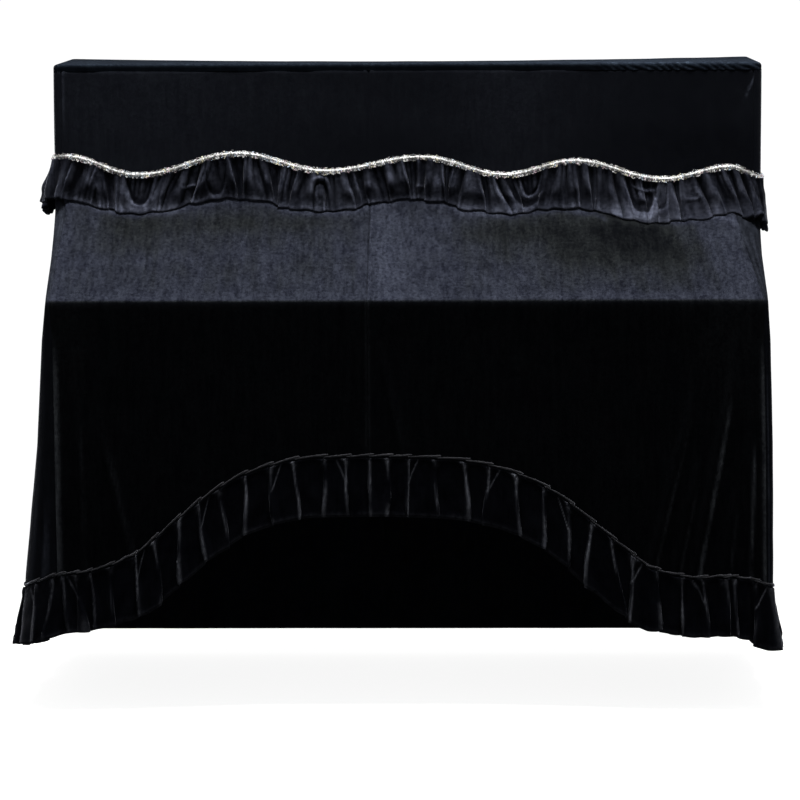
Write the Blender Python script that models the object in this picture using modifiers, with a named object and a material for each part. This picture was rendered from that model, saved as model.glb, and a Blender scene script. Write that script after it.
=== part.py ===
"""Fitted velvet cover for an upright piano, as it hangs on the instrument.

The cover is a hollow of sewn panels: a top, a plain band (the bib) that ends in a waved seam with a
glitter cord and a gathered ruffle, and a skirt that slopes out over the keyboard, drops over its
front edge and ends in an arched line with a pleated ruffle.

Metres, +Z up, the front faces -Y. The origin lies under the middle of the top panel, where the lid
of the piano carries the cover.
"""

from bisect import bisect_right
from collections import namedtuple
from math import cos, exp, pi, sin, sqrt

import bmesh
import bpy
from mathutils import Vector

# ---- driving dimensions ------------------------------------------------------------------------

CLOTH = 0.002            # thickness of the velvet
SEAM_GAP = 0.0003        # space left between neighbouring pieces
HALF_WIDTH = 0.748       # middle of the piano to the inner face of an end
HALF_DEPTH = 0.1825      # middle of the upper case to the inner face of the front or back
CORNER = 0.015           # rounding of the upright corners
TOP_FILLET = 0.006       # rounding over the edges of the lid
TOP_LIP = 0.014          # how far the top panel turns down to its seam
TOP_SAG = 0.008          # how far the middle of the back edge of the top lies below its corners

EDGE_DROP = 0.478        # top down to the front edge of the keyboard
EDGE_REACH = 0.2645      # front of the upper case forward to the front edge of the keyboard
EDGE_SOFTNESS = 0.005    # rounding of the cloth over that edge
BEND_DROP = 0.305        # top down to where the cloth turns from the upper case onto the slope
BEND_SOFTNESS = 0.030
DROP_LEAN = 0.010        # how far the foot of the front hangs ahead of the keyboard edge
BACK_HEM = -1.280        # lower edge of the back panel
BACK_FLARE = 0.2         # share of the flare of a front corner that its end keeps at the back
FLUTE_TOP = -0.520       # height from which the ends hang in upright flutes
FLUTE_FALL = 0.600       # distance down in which the flutes reach their full height
FLUTE_HEIGHT = 0.006

FRONT_RUN = HALF_WIDTH - CORNER    # middle of the front round to a front corner seam
CENTRE_SEAM = -0.080               # where the two widths of the front skirt are joined

SAME_STATION = 0.000001  # two stations closer than this are one

TRIM_RADIUS = 0.0050
CORD_SEAT = 0.0009       # clearance under the cords, whose short straight lengths cut the bends
ROOT_SEAT = 0.0006       # clearance under the upper edges of the ruffles
TRIM_TUCK = 0.0058       # waved line down to the upper edge of the ruffle under the cord
HEADING_RADIUS = 0.0030
HEADING_TUCK = 0.0066    # arched line down to the upper edge of the ruffle under its heading
RUFFLE_LAP = 0.013       # how far the skirt runs down behind the lower ruffle

UPPER_RUFFLE_LENGTH = 0.097
UPPER_GATHER_PITCH = 0.037
UPPER_GATHER_DEPTH = 0.013
UPPER_FLARE = 0.009      # how far the lower edge of the upper ruffle stands off
UPPER_LEFT_FLARE = 0.012     # what that gains round the left end
UPPER_RIGHT_FLARE = 0.001    # and round the right end
LOWER_RUFFLE_LENGTH = 0.122
LOWER_RUFFLE_BIAS = 0.6  # how much longer the lower ruffle hangs where its seam climbs
PLEAT_PITCH = 0.053
PLEAT_DEPTH = 0.018
RUFFLE_FADE = 0.020      # how far from the end of a ruffle its own folds begin
RUFFLE_ROWS = (1.0, 0.45, 0.0)     # rows of a ruffle, as shares of its length, from the lowest up

# ---- tables ------------------------------------------------------------------------------------

# The waved seam: its crests and troughs, by their place round the cover (0 is the middle of the
# front, the corner seams lie at +-FRONT_RUN) and their height.
Turn = namedtuple("Turn", "place height")
WAVED_SEAM = (
    Turn(-1.115, -0.198),
    Turn(-0.900, -0.232),
    Turn(-0.725, -0.188),
    Turn(-0.571, -0.230),
    Turn(-0.360, -0.185),
    Turn(-0.172, -0.223),
    Turn(0.030, -0.194),
    Turn(0.207, -0.232),
    Turn(0.355, -0.203),
    Turn(0.542, -0.242),
    Turn(0.685, -0.216),
    Turn(0.850, -0.252),
    Turn(1.010, -0.220),
    Turn(1.115, -0.234),
)

# The seam over the lower ruffle: level stretches joined by S-shaped rises, by place and height.
ARCHED_SEAM = (
    Turn(-1.425, -1.148),
    Turn(-1.050, -1.120),
    Turn(-0.700, -1.040),
    Turn(-0.238, -0.799),
    Turn(-0.050, -0.794),
    Turn(0.163, -0.804),
    Turn(0.590, -1.045),
    Turn(0.650, -1.048),
    Turn(0.780, -1.068),
    Turn(1.425, -1.150),
)

# The two front corners at several heights: middle to the corner seam, middle to the face of the
# end, and how far back the cloth takes to bend from one to the other.
Corner = namedtuple("Corner", "height seam face bend")
LEFT_CORNER = (
    Corner(0.000, 0.733, 0.748, 0.015),
    Corner(-0.262, 0.733, 0.748, 0.015),
    Corner(-0.310, 0.726, 0.747, 0.030),
    Corner(-0.400, 0.733, 0.745, 0.040),
    Corner(-0.478, 0.737, 0.743, 0.008),
    Corner(-0.560, 0.731, 0.754, 0.035),
    Corner(-0.780, 0.729, 0.769, 0.070),
    Corner(-1.060, 0.727, 0.799, 0.095),
    Corner(-1.230, 0.728, 0.810, 0.110),
)
RIGHT_CORNER = (
    Corner(0.000, 0.733, 0.748, 0.015),
    Corner(-0.262, 0.733, 0.748, 0.015),
    Corner(-0.310, 0.692, 0.746, 0.040),
    Corner(-0.400, 0.716, 0.744, 0.060),
    Corner(-0.478, 0.738, 0.744, 0.008),
    Corner(-0.560, 0.738, 0.750, 0.018),
    Corner(-0.780, 0.743, 0.756, 0.025),
    Corner(-1.060, 0.747, 0.758, 0.030),
    Corner(-1.230, 0.749, 0.764, 0.050),
)

# Soft ridges in the hanging front: where each starts, a lower point that it runs through, its half
# width and its height when full.
Fold = namedtuple("Fold", "top_x top_z low_x low_z half_width height")
FRONT_FOLDS = (
    Fold(-0.702, -0.600, -0.672, -1.030, 0.011, 0.006),
    Fold(-0.645, -0.700, -0.580, -0.970, 0.016, 0.005),
    Fold(-0.066, -0.520, -0.006, -0.790, 0.012, 0.004),
    Fold(0.600, -0.690, 0.515, -1.030, 0.014, 0.007),
    Fold(0.582, -0.860, 0.551, -1.030, 0.010, 0.005),
    Fold(0.682, -0.600, 0.586, -1.040, 0.014, 0.011),
    Fold(0.690, -0.740, 0.668, -1.040, 0.011, 0.008),
    Fold(0.722, -0.560, 0.717, -1.040, 0.010, 0.009),
)

# The two seams that carry a ruffle: the height at which distances round them are measured, and the
# distance from a front corner seam to the back one.
Tier = namedtuple("Tier", "level side_run")
UPPER_TIER = Tier(-0.205, 0.382)
LOWER_TIER = Tier(-1.060, 0.690)

Velvet = namedtuple("Velvet", "name colour roughness")
TOP_VELVET = Velvet("velvet_top", (0.020, 0.022, 0.028), 0.80)
BIB_VELVET = Velvet("velvet_bib", (0.006, 0.007, 0.010), 0.85)
SKIRT_VELVET = Velvet("velvet_skirt", (0.012, 0.013, 0.018), 0.85)
SIDE_VELVET = Velvet("velvet_side", (0.008, 0.009, 0.012), 0.85)
BACK_VELVET = Velvet("velvet_back", (0.007, 0.007, 0.010), 0.88)
RUFFLE_VELVET = Velvet("velvet_ruffle", (0.016, 0.016, 0.020), 0.75)
HEADING_VELVET = Velvet("velvet_heading", (0.030, 0.030, 0.034), 0.70)


# ---- curves and surfaces of the cover ----------------------------------------------------------

def ease(t):
    """Smooth step from 0 to 1."""
    t = min(max(t, 0.0), 1.0)
    return t * t * (3.0 - 2.0 * t)


def swing(table, place):
    """Height of a waved line: level at each row of its table and S-shaped between two rows."""
    if place <= table[0].place:
        return table[0].height
    for low, high in zip(table, table[1:]):
        if place <= high.place:
            share = (place - low.place) / (high.place - low.place)
            return low.height + (high.height - low.height) * 0.5 * (1.0 - cos(pi * share))
    return table[-1].height


def waved_seam(run):
    return swing(WAVED_SEAM, run)


def arched_seam(run):
    return swing(ARCHED_SEAM, run)


def corner_at(side, z):
    """Row of a front corner at any height, eased between the rows of its table."""
    table = LEFT_CORNER if side < 0 else RIGHT_CORNER
    if z >= table[0].height:
        return table[0]
    for high, low in zip(table, table[1:]):
        if z >= low.height:
            share = (high.height - z) / (high.height - low.height)
            return Corner(z, *(a + (b - a) * share for a, b in zip(high[1:], low[1:])))
    return table[-1]


def soft_ramp(distance, softness):
    """0 before a bend and the distance past it after, with a rounded change between them."""
    return 0.5 * (sqrt(distance * distance + softness * softness) + distance)


def front_depth(z):
    """How far the front lies ahead of the middle of the case: flat, then the slope, then the drop."""
    run_for_drop = EDGE_REACH / (EDGE_DROP - BEND_DROP)
    on_slope = soft_ramp(-BEND_DROP - z, BEND_SOFTNESS) - soft_ramp(-EDGE_DROP - z, EDGE_SOFTNESS)
    on_slope -= soft_ramp(-BEND_DROP, BEND_SOFTNESS)
    lean = DROP_LEAN * ease((-EDGE_DROP - z) / EDGE_DROP)
    return HALF_DEPTH + run_for_drop * on_slope + lean


def front_relief(x, z):
    """How far the folds of the hanging front stand out; along the foot they run straight down."""
    z = max(z, arched_seam(x) + 0.5 * RUFFLE_LAP)
    relief = 0.0
    for fold in FRONT_FOLDS:
        down = (fold.top_z - z) / (fold.top_z - fold.low_z)
        if down > 0.0:
            centre = fold.top_x + (fold.low_x - fold.top_x) * down
            offset = (x - centre) / fold.half_width
            relief += fold.height * ease(2.0 * down) * exp(-offset * offset)
    return relief


def side_relief(share, z):
    """Upright flutes of an end below the keyboard; share runs 0 to 1 from front to back."""
    strength = FLUTE_HEIGHT * ease((FLUTE_TOP - z) / FLUTE_FALL) * sin(pi * share)
    return strength * sin(2.0 * pi * (2.6 * share + 0.6 * share * share))


def side_point(side, stage, z):
    """Inner face of an end: stage 0 to 1 is the front bend, 1 to 2 the straight, 2 to 3 the back."""
    corner = corner_at(side, z)
    y_seam = -front_depth(z)
    back_face = HALF_WIDTH + BACK_FLARE * max(corner.face - HALF_WIDTH, 0.0)
    if stage <= 1.0:
        angle = 0.5 * pi * stage
        x = corner.seam + (corner.face - corner.seam) * sin(angle)
        y = y_seam + corner.bend * (1.0 - cos(angle))
        share = 0.15 * stage
    elif stage <= 2.0:
        back = stage - 1.0
        x = corner.face + (back_face - corner.face) * ease(back)
        y = y_seam + corner.bend + back * (HALF_DEPTH - CORNER - y_seam - corner.bend)
        share = 0.15 + 0.85 * back
    else:
        angle = 0.5 * pi * (stage - 2.0)
        x = back_face - (back_face - HALF_WIDTH + CORNER) * (1.0 - cos(angle))
        y = HALF_DEPTH - CORNER * (1.0 - sin(angle))
        share = 1.0
    return Vector((side * (x + side_relief(share, z)), y, z))


def side_lengths(side, z):
    """Lengths of an end along a level line: front bend, straight stretch, back bend."""
    corner = corner_at(side, z)
    front = 0.5 * pi * sqrt(0.5 * ((corner.face - corner.seam) ** 2 + corner.bend ** 2))
    straight = front_depth(z) - corner.bend + HALF_DEPTH - CORNER
    return front, straight, 0.5 * pi * CORNER


# A station names a place round the cover: on the front it is the distance from the middle, up to
# +-FRONT_RUN at the corner seams, and on an end it is that plus the stage, 0 to 3.

def body(station, z):
    """Inner face of the cover at a station and a height."""
    side = -1 if station < 0.0 else 1
    if abs(station) <= FRONT_RUN:
        x = station / FRONT_RUN * corner_at(side, z).seam
        return Vector((x, -front_depth(z) - front_relief(x, z), z))
    return side_point(side, abs(station) - FRONT_RUN, z)


def strip_at(station):
    """The two panel stations between which a station lies."""
    index = min(max(bisect_right(STATIONS, station), 1), len(STATIONS) - 1)
    return STATIONS[index - 1], STATIONS[index]


def facet(station, z):
    """Inner face on the flat strips between the stations at which the panels are laid out."""
    low, high = strip_at(station)
    share = min(max((station - low) / (high - low), 0.0), 1.0)
    return body(low, z).lerp(body(high, z), share)


def strip_normal(low, high, z):
    across = body(high, z) - body(low, z)
    middle = 0.5 * (low + high)
    return across.cross(body(middle, z + 0.002) - body(middle, z - 0.002)).normalized()


def seated(station, z, distance):
    """Point at a distance outside the strips; over a bend it is that far from both of them."""
    nearest = min(STATIONS, key=lambda other: abs(other - station))
    if abs(nearest - station) < SAME_STATION:
        station = nearest
    low, high = strip_at(station)
    normal = strip_normal(low, high, z)
    before = STATIONS.index(low) - 1
    if station == low and before >= 0:
        joint = (normal + strip_normal(STATIONS[before], low, z)).normalized()
        normal = joint / joint.dot(normal)
    return facet(station, z) + normal * distance


def outward(station, z):
    """Outward direction of the smooth surface."""
    across = body(station + 0.004, z) - body(station - 0.004, z)
    upward = body(station, z + 0.002) - body(station, z - 0.002)
    return across.cross(upward).normalized()


def run_at(station, tier):
    """Distance round the cover from the middle of the front to a station, on a tier's line."""
    side = -1 if station < 0.0 else 1
    if abs(station) <= FRONT_RUN:
        return station
    lengths = side_lengths(side, tier.level)
    stage = abs(station) - FRONT_RUN
    reached = sum(length * min(max(stage - i, 0.0), 1.0) for i, length in enumerate(lengths))
    return side * (FRONT_RUN + tier.side_run * reached / sum(lengths))


def station_at(run, tier):
    """Station that lies a distance round the cover from the middle of the front."""
    side = -1 if run < 0.0 else 1
    if abs(run) <= FRONT_RUN:
        return run
    lengths = side_lengths(side, tier.level)
    rest = (abs(run) - FRONT_RUN) / tier.side_run * sum(lengths)
    for stage, length in enumerate(lengths):
        if rest <= length:
            return side * (FRONT_RUN + stage + rest / length)
        rest -= length
    return side * (FRONT_RUN + 3.0)


def gather_depth(run):
    """Uneven gathers of the upper ruffle, 0 in the valleys and 1 on the ridges."""
    turn = run / UPPER_GATHER_PITCH
    turn += 0.30 * sin(2.0 * pi * run / 0.310 + 0.7) + 0.22 * sin(2.0 * pi * run / 0.173 + 2.1)
    strength = 0.72 + 0.28 * sin(2.0 * pi * run / 0.127 + 1.3)
    return strength * (0.5 + 0.5 * sin(2.0 * pi * turn))


def pleat_depth(run):
    """Leaning pleats of the lower ruffle, 0 in the valleys and 1 on the ridges."""
    turn = run / PLEAT_PITCH
    turn += 0.22 * sin(2.0 * pi * run / 0.410 + 0.4) + 0.12 * sin(2.0 * pi * run / 0.197 + 1.9)
    strength = 0.75 + 0.25 * sin(2.0 * pi * run / 0.233 + 0.8)
    return strength * (0.5 + 0.5 * sin(2.0 * pi * turn + 0.6 * sin(2.0 * pi * turn)))


# ---- building blocks ---------------------------------------------------------------------------

def clear_scene():
    for obj in list(bpy.data.objects):
        bpy.data.objects.remove(obj, do_unlink=True)


def new_collection(name):
    collection = bpy.data.collections.new(name)
    bpy.context.scene.collection.children.link(collection)
    return collection


def velvet_material(velvet):
    material = bpy.data.materials.get(velvet.name)
    if material is None:
        material = bpy.data.materials.new(velvet.name)
        material.use_nodes = True
        shader = material.node_tree.nodes["Principled BSDF"]
        shader.inputs["Base Color"].default_value = (*velvet.colour, 1.0)
        shader.inputs["Roughness"].default_value = velvet.roughness
        shader.inputs["Metallic"].default_value = 0.0
        shader.inputs["Sheen Weight"].default_value = 0.6
    return material


def glitter_material():
    material = bpy.data.materials.new("glitter_silver")
    material.use_nodes = True
    shader = material.node_tree.nodes["Principled BSDF"]
    shader.inputs["Base Color"].default_value = (0.80, 0.80, 0.76, 1.0)
    shader.inputs["Roughness"].default_value = 0.30
    shader.inputs["Metallic"].default_value = 0.60
    return material


def spread(start, end, count):
    """Even stations from start to end, both included, with count steps between them."""
    return [start + (end - start) * index / count for index in range(count + 1)]


def cloth_panel(name, columns, rows, place, velvet, collection):
    """A sheet of velvet laid out by place(column, row); it thickens towards its outer side.

    Columns run to the right as seen from outside and rows run upward.
    """
    bm = bmesh.new()
    across = len(columns) - 1
    upward = len(rows) - 1
    bmesh.ops.create_grid(bm, x_segments=across, y_segments=upward, size=0.5)
    for vert in bm.verts:
        column = columns[round((vert.co.x + 0.5) * across)]
        row = rows[round((vert.co.y + 0.5) * upward)]
        vert.co = place(column, row)
    mesh = bpy.data.meshes.new(name)
    bm.to_mesh(mesh)
    bm.free()
    mesh.shade_smooth()
    panel = bpy.data.objects.new(name, mesh)
    collection.objects.link(panel)
    thickness = panel.modifiers.new("Cloth thickness", "SOLIDIFY")
    thickness.thickness = CLOTH
    thickness.offset = 1.0
    thickness.use_even_offset = True
    mesh.materials.append(velvet_material(velvet))
    return panel


def cord(name, points, radius, material, collection):
    """A round cord through a list of points."""
    curve = bpy.data.curves.new(name, "CURVE")
    curve.dimensions = "3D"
    curve.bevel_depth = radius
    curve.bevel_resolution = 1
    curve.use_fill_caps = True
    spline = curve.splines.new("POLY")
    spline.points.add(len(points) - 1)
    for target, point in zip(spline.points, points):
        target.co = (*point, 1.0)
    curve.materials.append(material)
    obj = bpy.data.objects.new(name, curve)
    collection.objects.link(obj)
    return obj


# ---- stations and rows of the panels ------------------------------------------------------------

TOP_STATIONS = spread(-FRONT_RUN, FRONT_RUN, 10)
FRONT_LEFT_STATIONS = spread(-FRONT_RUN, -0.570, 10) + spread(-0.570, CENTRE_SEAM, 10)[1:]
FRONT_RIGHT_STATIONS = (
    spread(CENTRE_SEAM, 0.010, 4) + spread(0.010, 0.500, 9)[1:] + spread(0.500, FRONT_RUN, 16)[1:]
)
SIDE_STAGES = spread(0.0, 1.0, 4) + spread(1.0, 2.0, 11)[1:] + spread(2.0, 3.0, 3)[1:]
RIGHT_STATIONS = [FRONT_RUN + stage for stage in SIDE_STAGES]
LEFT_STATIONS = [-station for station in reversed(RIGHT_STATIONS)]
STATIONS = LEFT_STATIONS + FRONT_LEFT_STATIONS[1:] + FRONT_RIGHT_STATIONS[1:] + RIGHT_STATIONS[1:]

BEND_LEVELS = tuple(-BEND_DROP + k * BEND_SOFTNESS for k in (1.4, 0.3, -0.9))
SLOPE_LEVEL = -0.5 * (EDGE_DROP + BEND_DROP)
EDGE_LEVELS = tuple(-EDGE_DROP + k * EDGE_SOFTNESS for k in (2.6, 0.7, -0.7, -2.8))
LEVELS = BEND_LEVELS + (SLOPE_LEVEL,) + EDGE_LEVELS
DROP_ROWS = 5
SKIRT_ROWS = range(DROP_ROWS + len(LEVELS) + 2)


def waved_height(station):
    return waved_seam(run_at(station, UPPER_TIER))


def arched_height(station):
    return arched_seam(run_at(station, LOWER_TIER))


def skirt_heights(station):
    """Heights of the rows of the skirt at a station, from the lowest up."""
    seam = arched_height(station)
    fall = spread(seam + 0.5 * RUFFLE_LAP, LEVELS[-1], DROP_ROWS)[:-1]
    return [seam - RUFFLE_LAP] + fall + sorted(LEVELS) + [waved_height(station) - 0.5 * SEAM_GAP]


def top_height(x, y):
    """Height of the under side of the top panel, which sags a little along its back edge."""
    return -TOP_SAG * (1.0 - (x / HALF_WIDTH) ** 2) * ease((y + HALF_DEPTH) / (2.0 * HALF_DEPTH))


def bib_height(station, row):
    """Height in the bib: row 0 at the waved seam, row 1 at the seam under the top."""
    low = waved_height(station) + 0.5 * SEAM_GAP
    corner = body(station, 0.0)
    high = top_height(corner.x, corner.y) - TOP_LIP - SEAM_GAP
    return low + (high - low) * row


def sewn(point, station, start, end):
    """A point of a panel, drawn in by half a seam gap where it lies on either end of the panel."""
    if station == start:
        point.x += 0.5 * SEAM_GAP if abs(start) <= FRONT_RUN else -0.5 * SEAM_GAP
    if station == end:
        point.x -= 0.5 * SEAM_GAP if abs(end) <= FRONT_RUN else -0.5 * SEAM_GAP
    return point


# ---- the pieces --------------------------------------------------------------------------------

def build_top(collection):
    """Top panel: flat on the lid, rounded over its edges and turned down to the seam."""
    quarter = 0.5 * pi * TOP_FILLET
    flat = CORNER - TOP_FILLET
    overhang = [0.0, flat, flat + 0.5 * quarter, flat + quarter, flat + quarter + TOP_LIP - TOP_FILLET]

    def stations(inner_stations):
        edge = [inner_stations[-1] + reach for reach in overhang]
        return [-reach for reach in reversed(edge)] + inner_stations[1:-1] + edge

    def profile(reach):
        """Reach along the cloth to (reach in plan, drop)."""
        if reach <= flat:
            return reach, 0.0
        angle = (reach - flat) / TOP_FILLET
        if angle < 0.5 * pi:
            return flat + TOP_FILLET * sin(angle), TOP_FILLET * (1.0 - cos(angle))
        return CORNER, TOP_FILLET + reach - flat - quarter

    def place(px, py):
        over_x = max(abs(px) - HALF_WIDTH + CORNER, 0.0)
        over_y = max(abs(py) - HALF_DEPTH + CORNER, 0.0)
        reach = max(over_x, over_y)
        plan, drop = profile(reach)
        if reach > 0.0:
            lean = over_y / over_x if over_x >= over_y else 2.0 - over_x / over_y
            plan_x, plan_y = plan * cos(0.25 * pi * lean), plan * sin(0.25 * pi * lean)
        else:
            plan_x = plan_y = 0.0
        x = min(abs(px), HALF_WIDTH - CORNER) + plan_x
        y = min(abs(py), HALF_DEPTH - CORNER) + plan_y
        y = y if py > 0 else -y
        return Vector((x if px > 0 else -x, y, top_height(x, y) - drop))

    inner_depth = HALF_DEPTH - CORNER
    across, deep = stations(TOP_STATIONS), stations(spread(-inner_depth, inner_depth, 4))
    cloth_panel("top_panel", across, deep, place, TOP_VELVET, collection)


PANEL_SPANS = {
    "left": LEFT_STATIONS,
    "front": FRONT_LEFT_STATIONS + FRONT_RIGHT_STATIONS[1:],
    "front_left": FRONT_LEFT_STATIONS,
    "front_right": FRONT_RIGHT_STATIONS,
    "right": RIGHT_STATIONS,
}


def wall_panel(name, span, rows, height, velvet, collection):
    """Panel of the upright body over a span of stations; height(station, row) sets its rows."""
    stations = PANEL_SPANS[span]

    def place(station, row):
        point = body(station, height(station, row))
        return sewn(point, station, stations[0], stations[-1])

    cloth_panel(name, stations, rows, place, velvet, collection)


def build_bib(collection):
    """Plain band over the front of the upper case and round its ends, down to the waved seam."""
    rows = spread(0.0, 1.0, 2)
    for span in ("front", "left", "right"):
        wall_panel("bib_" + span, span, rows, bib_height, BIB_VELVET, collection)


def build_back(collection):
    """Plain back panel from the seam under the top down to its hem."""
    edge = FRONT_RUN - 0.5 * SEAM_GAP

    def place(x, row):
        x = min(max(x, -edge), edge)
        high = top_height(x, HALF_DEPTH) - TOP_LIP - SEAM_GAP
        return Vector((x, HALF_DEPTH, BACK_HEM + (high - BACK_HEM) * row))

    rows = spread(0.0, 1.0, 4)
    cloth_panel("back_panel", TOP_STATIONS[::-1], rows, place, BACK_VELVET, collection)


def build_skirt(collection):
    """Front skirt in two widths and the two ends, from the waved seam down to the arched one."""
    def height(station, row):
        return skirt_heights(station)[row]

    for span in ("front_left", "front_right"):
        wall_panel("skirt_" + span, span, SKIRT_ROWS, height, SKIRT_VELVET, collection)
    for span in ("left", "right"):
        wall_panel("side_" + span, span, SKIRT_ROWS, height, SIDE_VELVET, collection)


def ruffle(name, start, end, step, tier, place, collection):
    """A ruffle between two seams, where a ridge lies; place(run, row, strength) is full between.

    It has a column at each panel station, and others a step apart that are clear of those.
    """
    first, last = start + 0.5 * SEAM_GAP, end - 0.5 * SEAM_GAP
    fixed = [run_at(station, tier) for station in STATIONS]
    fixed = [first] + [run for run in fixed if first < run < last] + [last]
    loose = spread(first, last, round((end - start) / step))[1:-1]
    loose = [run for run in loose if min(abs(run - other) for other in fixed) > 0.5 * step]
    columns = sorted(fixed + loose)

    def seat(run, row):
        return place(run, row, ease(min(run - first, last - run) / RUFFLE_FADE))

    cloth_panel(name, columns, RUFFLE_ROWS, seat, RUFFLE_VELVET, collection)


def build_upper_ruffle(collection):
    """Gathered ruffle that hangs from under the glitter cord and flares towards its lower edge."""
    upper_end = FRONT_RUN + UPPER_TIER.side_run

    def place(run, row, strength):
        z = waved_seam(run) - TRIM_TUCK - UPPER_RUFFLE_LENGTH * row
        station = station_at(run, UPPER_TIER)
        round_end = UPPER_LEFT_FLARE if run < 0.0 else UPPER_RIGHT_FLARE
        flare = UPPER_FLARE + round_end * ease((abs(run) - FRONT_RUN + 0.03) / 0.06)
        ridge = 1.0 - strength * (1.0 - gather_depth(run))
        lift = flare * row + UPPER_GATHER_DEPTH * ridge * row ** 0.7
        return seated(station, z, CLOTH + ROOT_SEAT) + outward(station, z) * lift

    step = UPPER_GATHER_PITCH / 4.0
    ruffle("ruffle_upper_front", -FRONT_RUN, FRONT_RUN, step, UPPER_TIER, place, collection)
    ruffle("ruffle_upper_left", -upper_end, -FRONT_RUN, step, UPPER_TIER, place, collection)
    ruffle("ruffle_upper_right", FRONT_RUN, upper_end, step, UPPER_TIER, place, collection)


def build_lower_ruffle(collection):
    """Pleated ruffle that laps over the foot of the skirt and hangs below it."""
    lower_end = FRONT_RUN + LOWER_TIER.side_run

    def place(run, row, strength):
        climb = (arched_seam(run + 0.01) - arched_seam(run - 0.01)) / 0.02
        length = LOWER_RUFFLE_LENGTH * sqrt(1.0 + LOWER_RUFFLE_BIAS * climb * climb)
        z = arched_seam(run) - HEADING_TUCK - length * row
        station = station_at(run, LOWER_TIER)
        ridge = 1.0 - strength * (1.0 - pleat_depth(run))
        lift = 0.004 * row + PLEAT_DEPTH * ridge * row ** 0.8
        return seated(station, z, CLOTH + ROOT_SEAT) + outward(station, z) * lift

    spans = (
        ("ruffle_lower_front_left", -FRONT_RUN, CENTRE_SEAM),
        ("ruffle_lower_front_right", CENTRE_SEAM, FRONT_RUN),
        ("ruffle_lower_left", -lower_end, -FRONT_RUN),
        ("ruffle_lower_right", FRONT_RUN, lower_end),
    )
    for name, start, end in spans:
        ruffle(name, start, end, PLEAT_PITCH / 5.0, LOWER_TIER, place, collection)


def build_trim(collection):
    """Glitter cord on the waved seam."""
    reach = CLOTH + CORD_SEAT + TRIM_RADIUS
    points = [seated(station, waved_height(station), reach) for station in STATIONS]
    cord("trim_cord", points, TRIM_RADIUS, glitter_material(), collection)


def build_heading(collection):
    """Heading of the lower ruffle: a narrow roll on the arched seam."""
    reach = CLOTH + CORD_SEAT + HEADING_RADIUS
    points = [seated(station, arched_height(station), reach) for station in STATIONS]
    cord("heading_cord", points, HEADING_RADIUS, velvet_material(HEADING_VELVET), collection)


def main():
    clear_scene()
    collection = new_collection("piano_cover")
    build_top(collection)
    build_bib(collection)
    build_back(collection)
    build_skirt(collection)
    build_upper_ruffle(collection)
    build_lower_ruffle(collection)
    build_trim(collection)
    build_heading(collection)


main()
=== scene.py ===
"""Velvet cover of an upright piano, dressed over its solids.

Panels of velvet hang over the instrument, with a glitter cord and a gathered ruffle on the waved seam
and a pleated ruffle on the arched one. Metres, +Z up, the front faces -Y.
"""

from collections import namedtuple
from math import cos, pi, radians, sin

import bpy
import numpy as np
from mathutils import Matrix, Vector


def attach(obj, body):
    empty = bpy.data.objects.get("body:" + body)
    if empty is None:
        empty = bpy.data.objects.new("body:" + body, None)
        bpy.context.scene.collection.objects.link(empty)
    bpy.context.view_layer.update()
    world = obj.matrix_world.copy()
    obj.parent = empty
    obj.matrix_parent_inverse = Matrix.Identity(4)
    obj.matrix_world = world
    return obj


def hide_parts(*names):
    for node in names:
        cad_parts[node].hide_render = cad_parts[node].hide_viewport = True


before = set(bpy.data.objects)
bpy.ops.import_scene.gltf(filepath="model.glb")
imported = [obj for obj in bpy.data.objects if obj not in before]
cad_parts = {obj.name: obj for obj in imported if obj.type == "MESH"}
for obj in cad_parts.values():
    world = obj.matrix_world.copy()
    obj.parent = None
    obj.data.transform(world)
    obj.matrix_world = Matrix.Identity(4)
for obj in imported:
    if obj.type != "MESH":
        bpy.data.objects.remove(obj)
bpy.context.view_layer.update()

# ---- sizes of the cover ------------------------------------------------------------------------

CLOTH = 0.002            # thickness of the velvet
RUFFLE_CLOTH = 0.0014
HALF_WIDTH = 0.748       # middle of the piano to the inner face of an end
HALF_DEPTH = 0.1825
CORNER = 0.015           # rounding of the upright corners
TOP_FILLET = 0.006
TOP_LIP = 0.014          # how far the top panel turns down to its seam
TOP_SAG = 0.008
PUCKERS_FROM = 0.34      # place along the front from which the top's edge is puckered

EDGE_DROP = 0.478        # top down to the front edge of the keyboard
EDGE_REACH = 0.2645
EDGE_SOFTNESS = 0.005
BEND_DROP = 0.305        # top down to where the cloth turns onto the slope
BEND_SOFTNESS = 0.030
DROP_LEAN = 0.010
BACK_HEM = -1.280
BACK_FLARE = 0.2
FLUTE_TOP = -0.520
FLUTE_FALL = 0.600
FLUTE_HEIGHT = 0.006

FRONT_RUN = HALF_WIDTH - CORNER   # middle of the front to a corner seam
CENTRE_SEAM = -0.080
SEAM_INSET = 0.0014      # cloth turned into a seam: how far in from it, and how deep
SEAM_DEPTH = 0.0040

TRIM_RADIUS = 0.0050
TRIM_TUCK = 0.0058       # waved seam down to the top of the upper ruffle
TRIM_DROP = 0.0024
HEADING_TUCK = 0.0066    # arched seam down to the top of the lower ruffle
RUFFLE_LAP = 0.013
RUFFLE_STEP = 0.0019     # from one column of a ruffle's grid to the next
RUFFLE_ROWS = 30
RUFFLE_INSET = 0.0001    # ends of a ruffle turned in: how far along, and how deep
RUFFLE_DEPTH = 0.0022
RUFFLE_GAP = 0.0006      # between a ruffle's flat cloth and the panel under it
UPPER_RUFFLE_LENGTH = 0.097
LOWER_RUFFLE_LENGTH = 0.120
LOWER_RUFFLE_BIAS = 0.52
HEM_TURN = 0.009         # width of a ruffle's hem
HEM_LIFT = 0.0007
HEM_GAP = 0.0003
SWAG_BOW = 3.4           # how square a swag is; 2 is round

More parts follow.
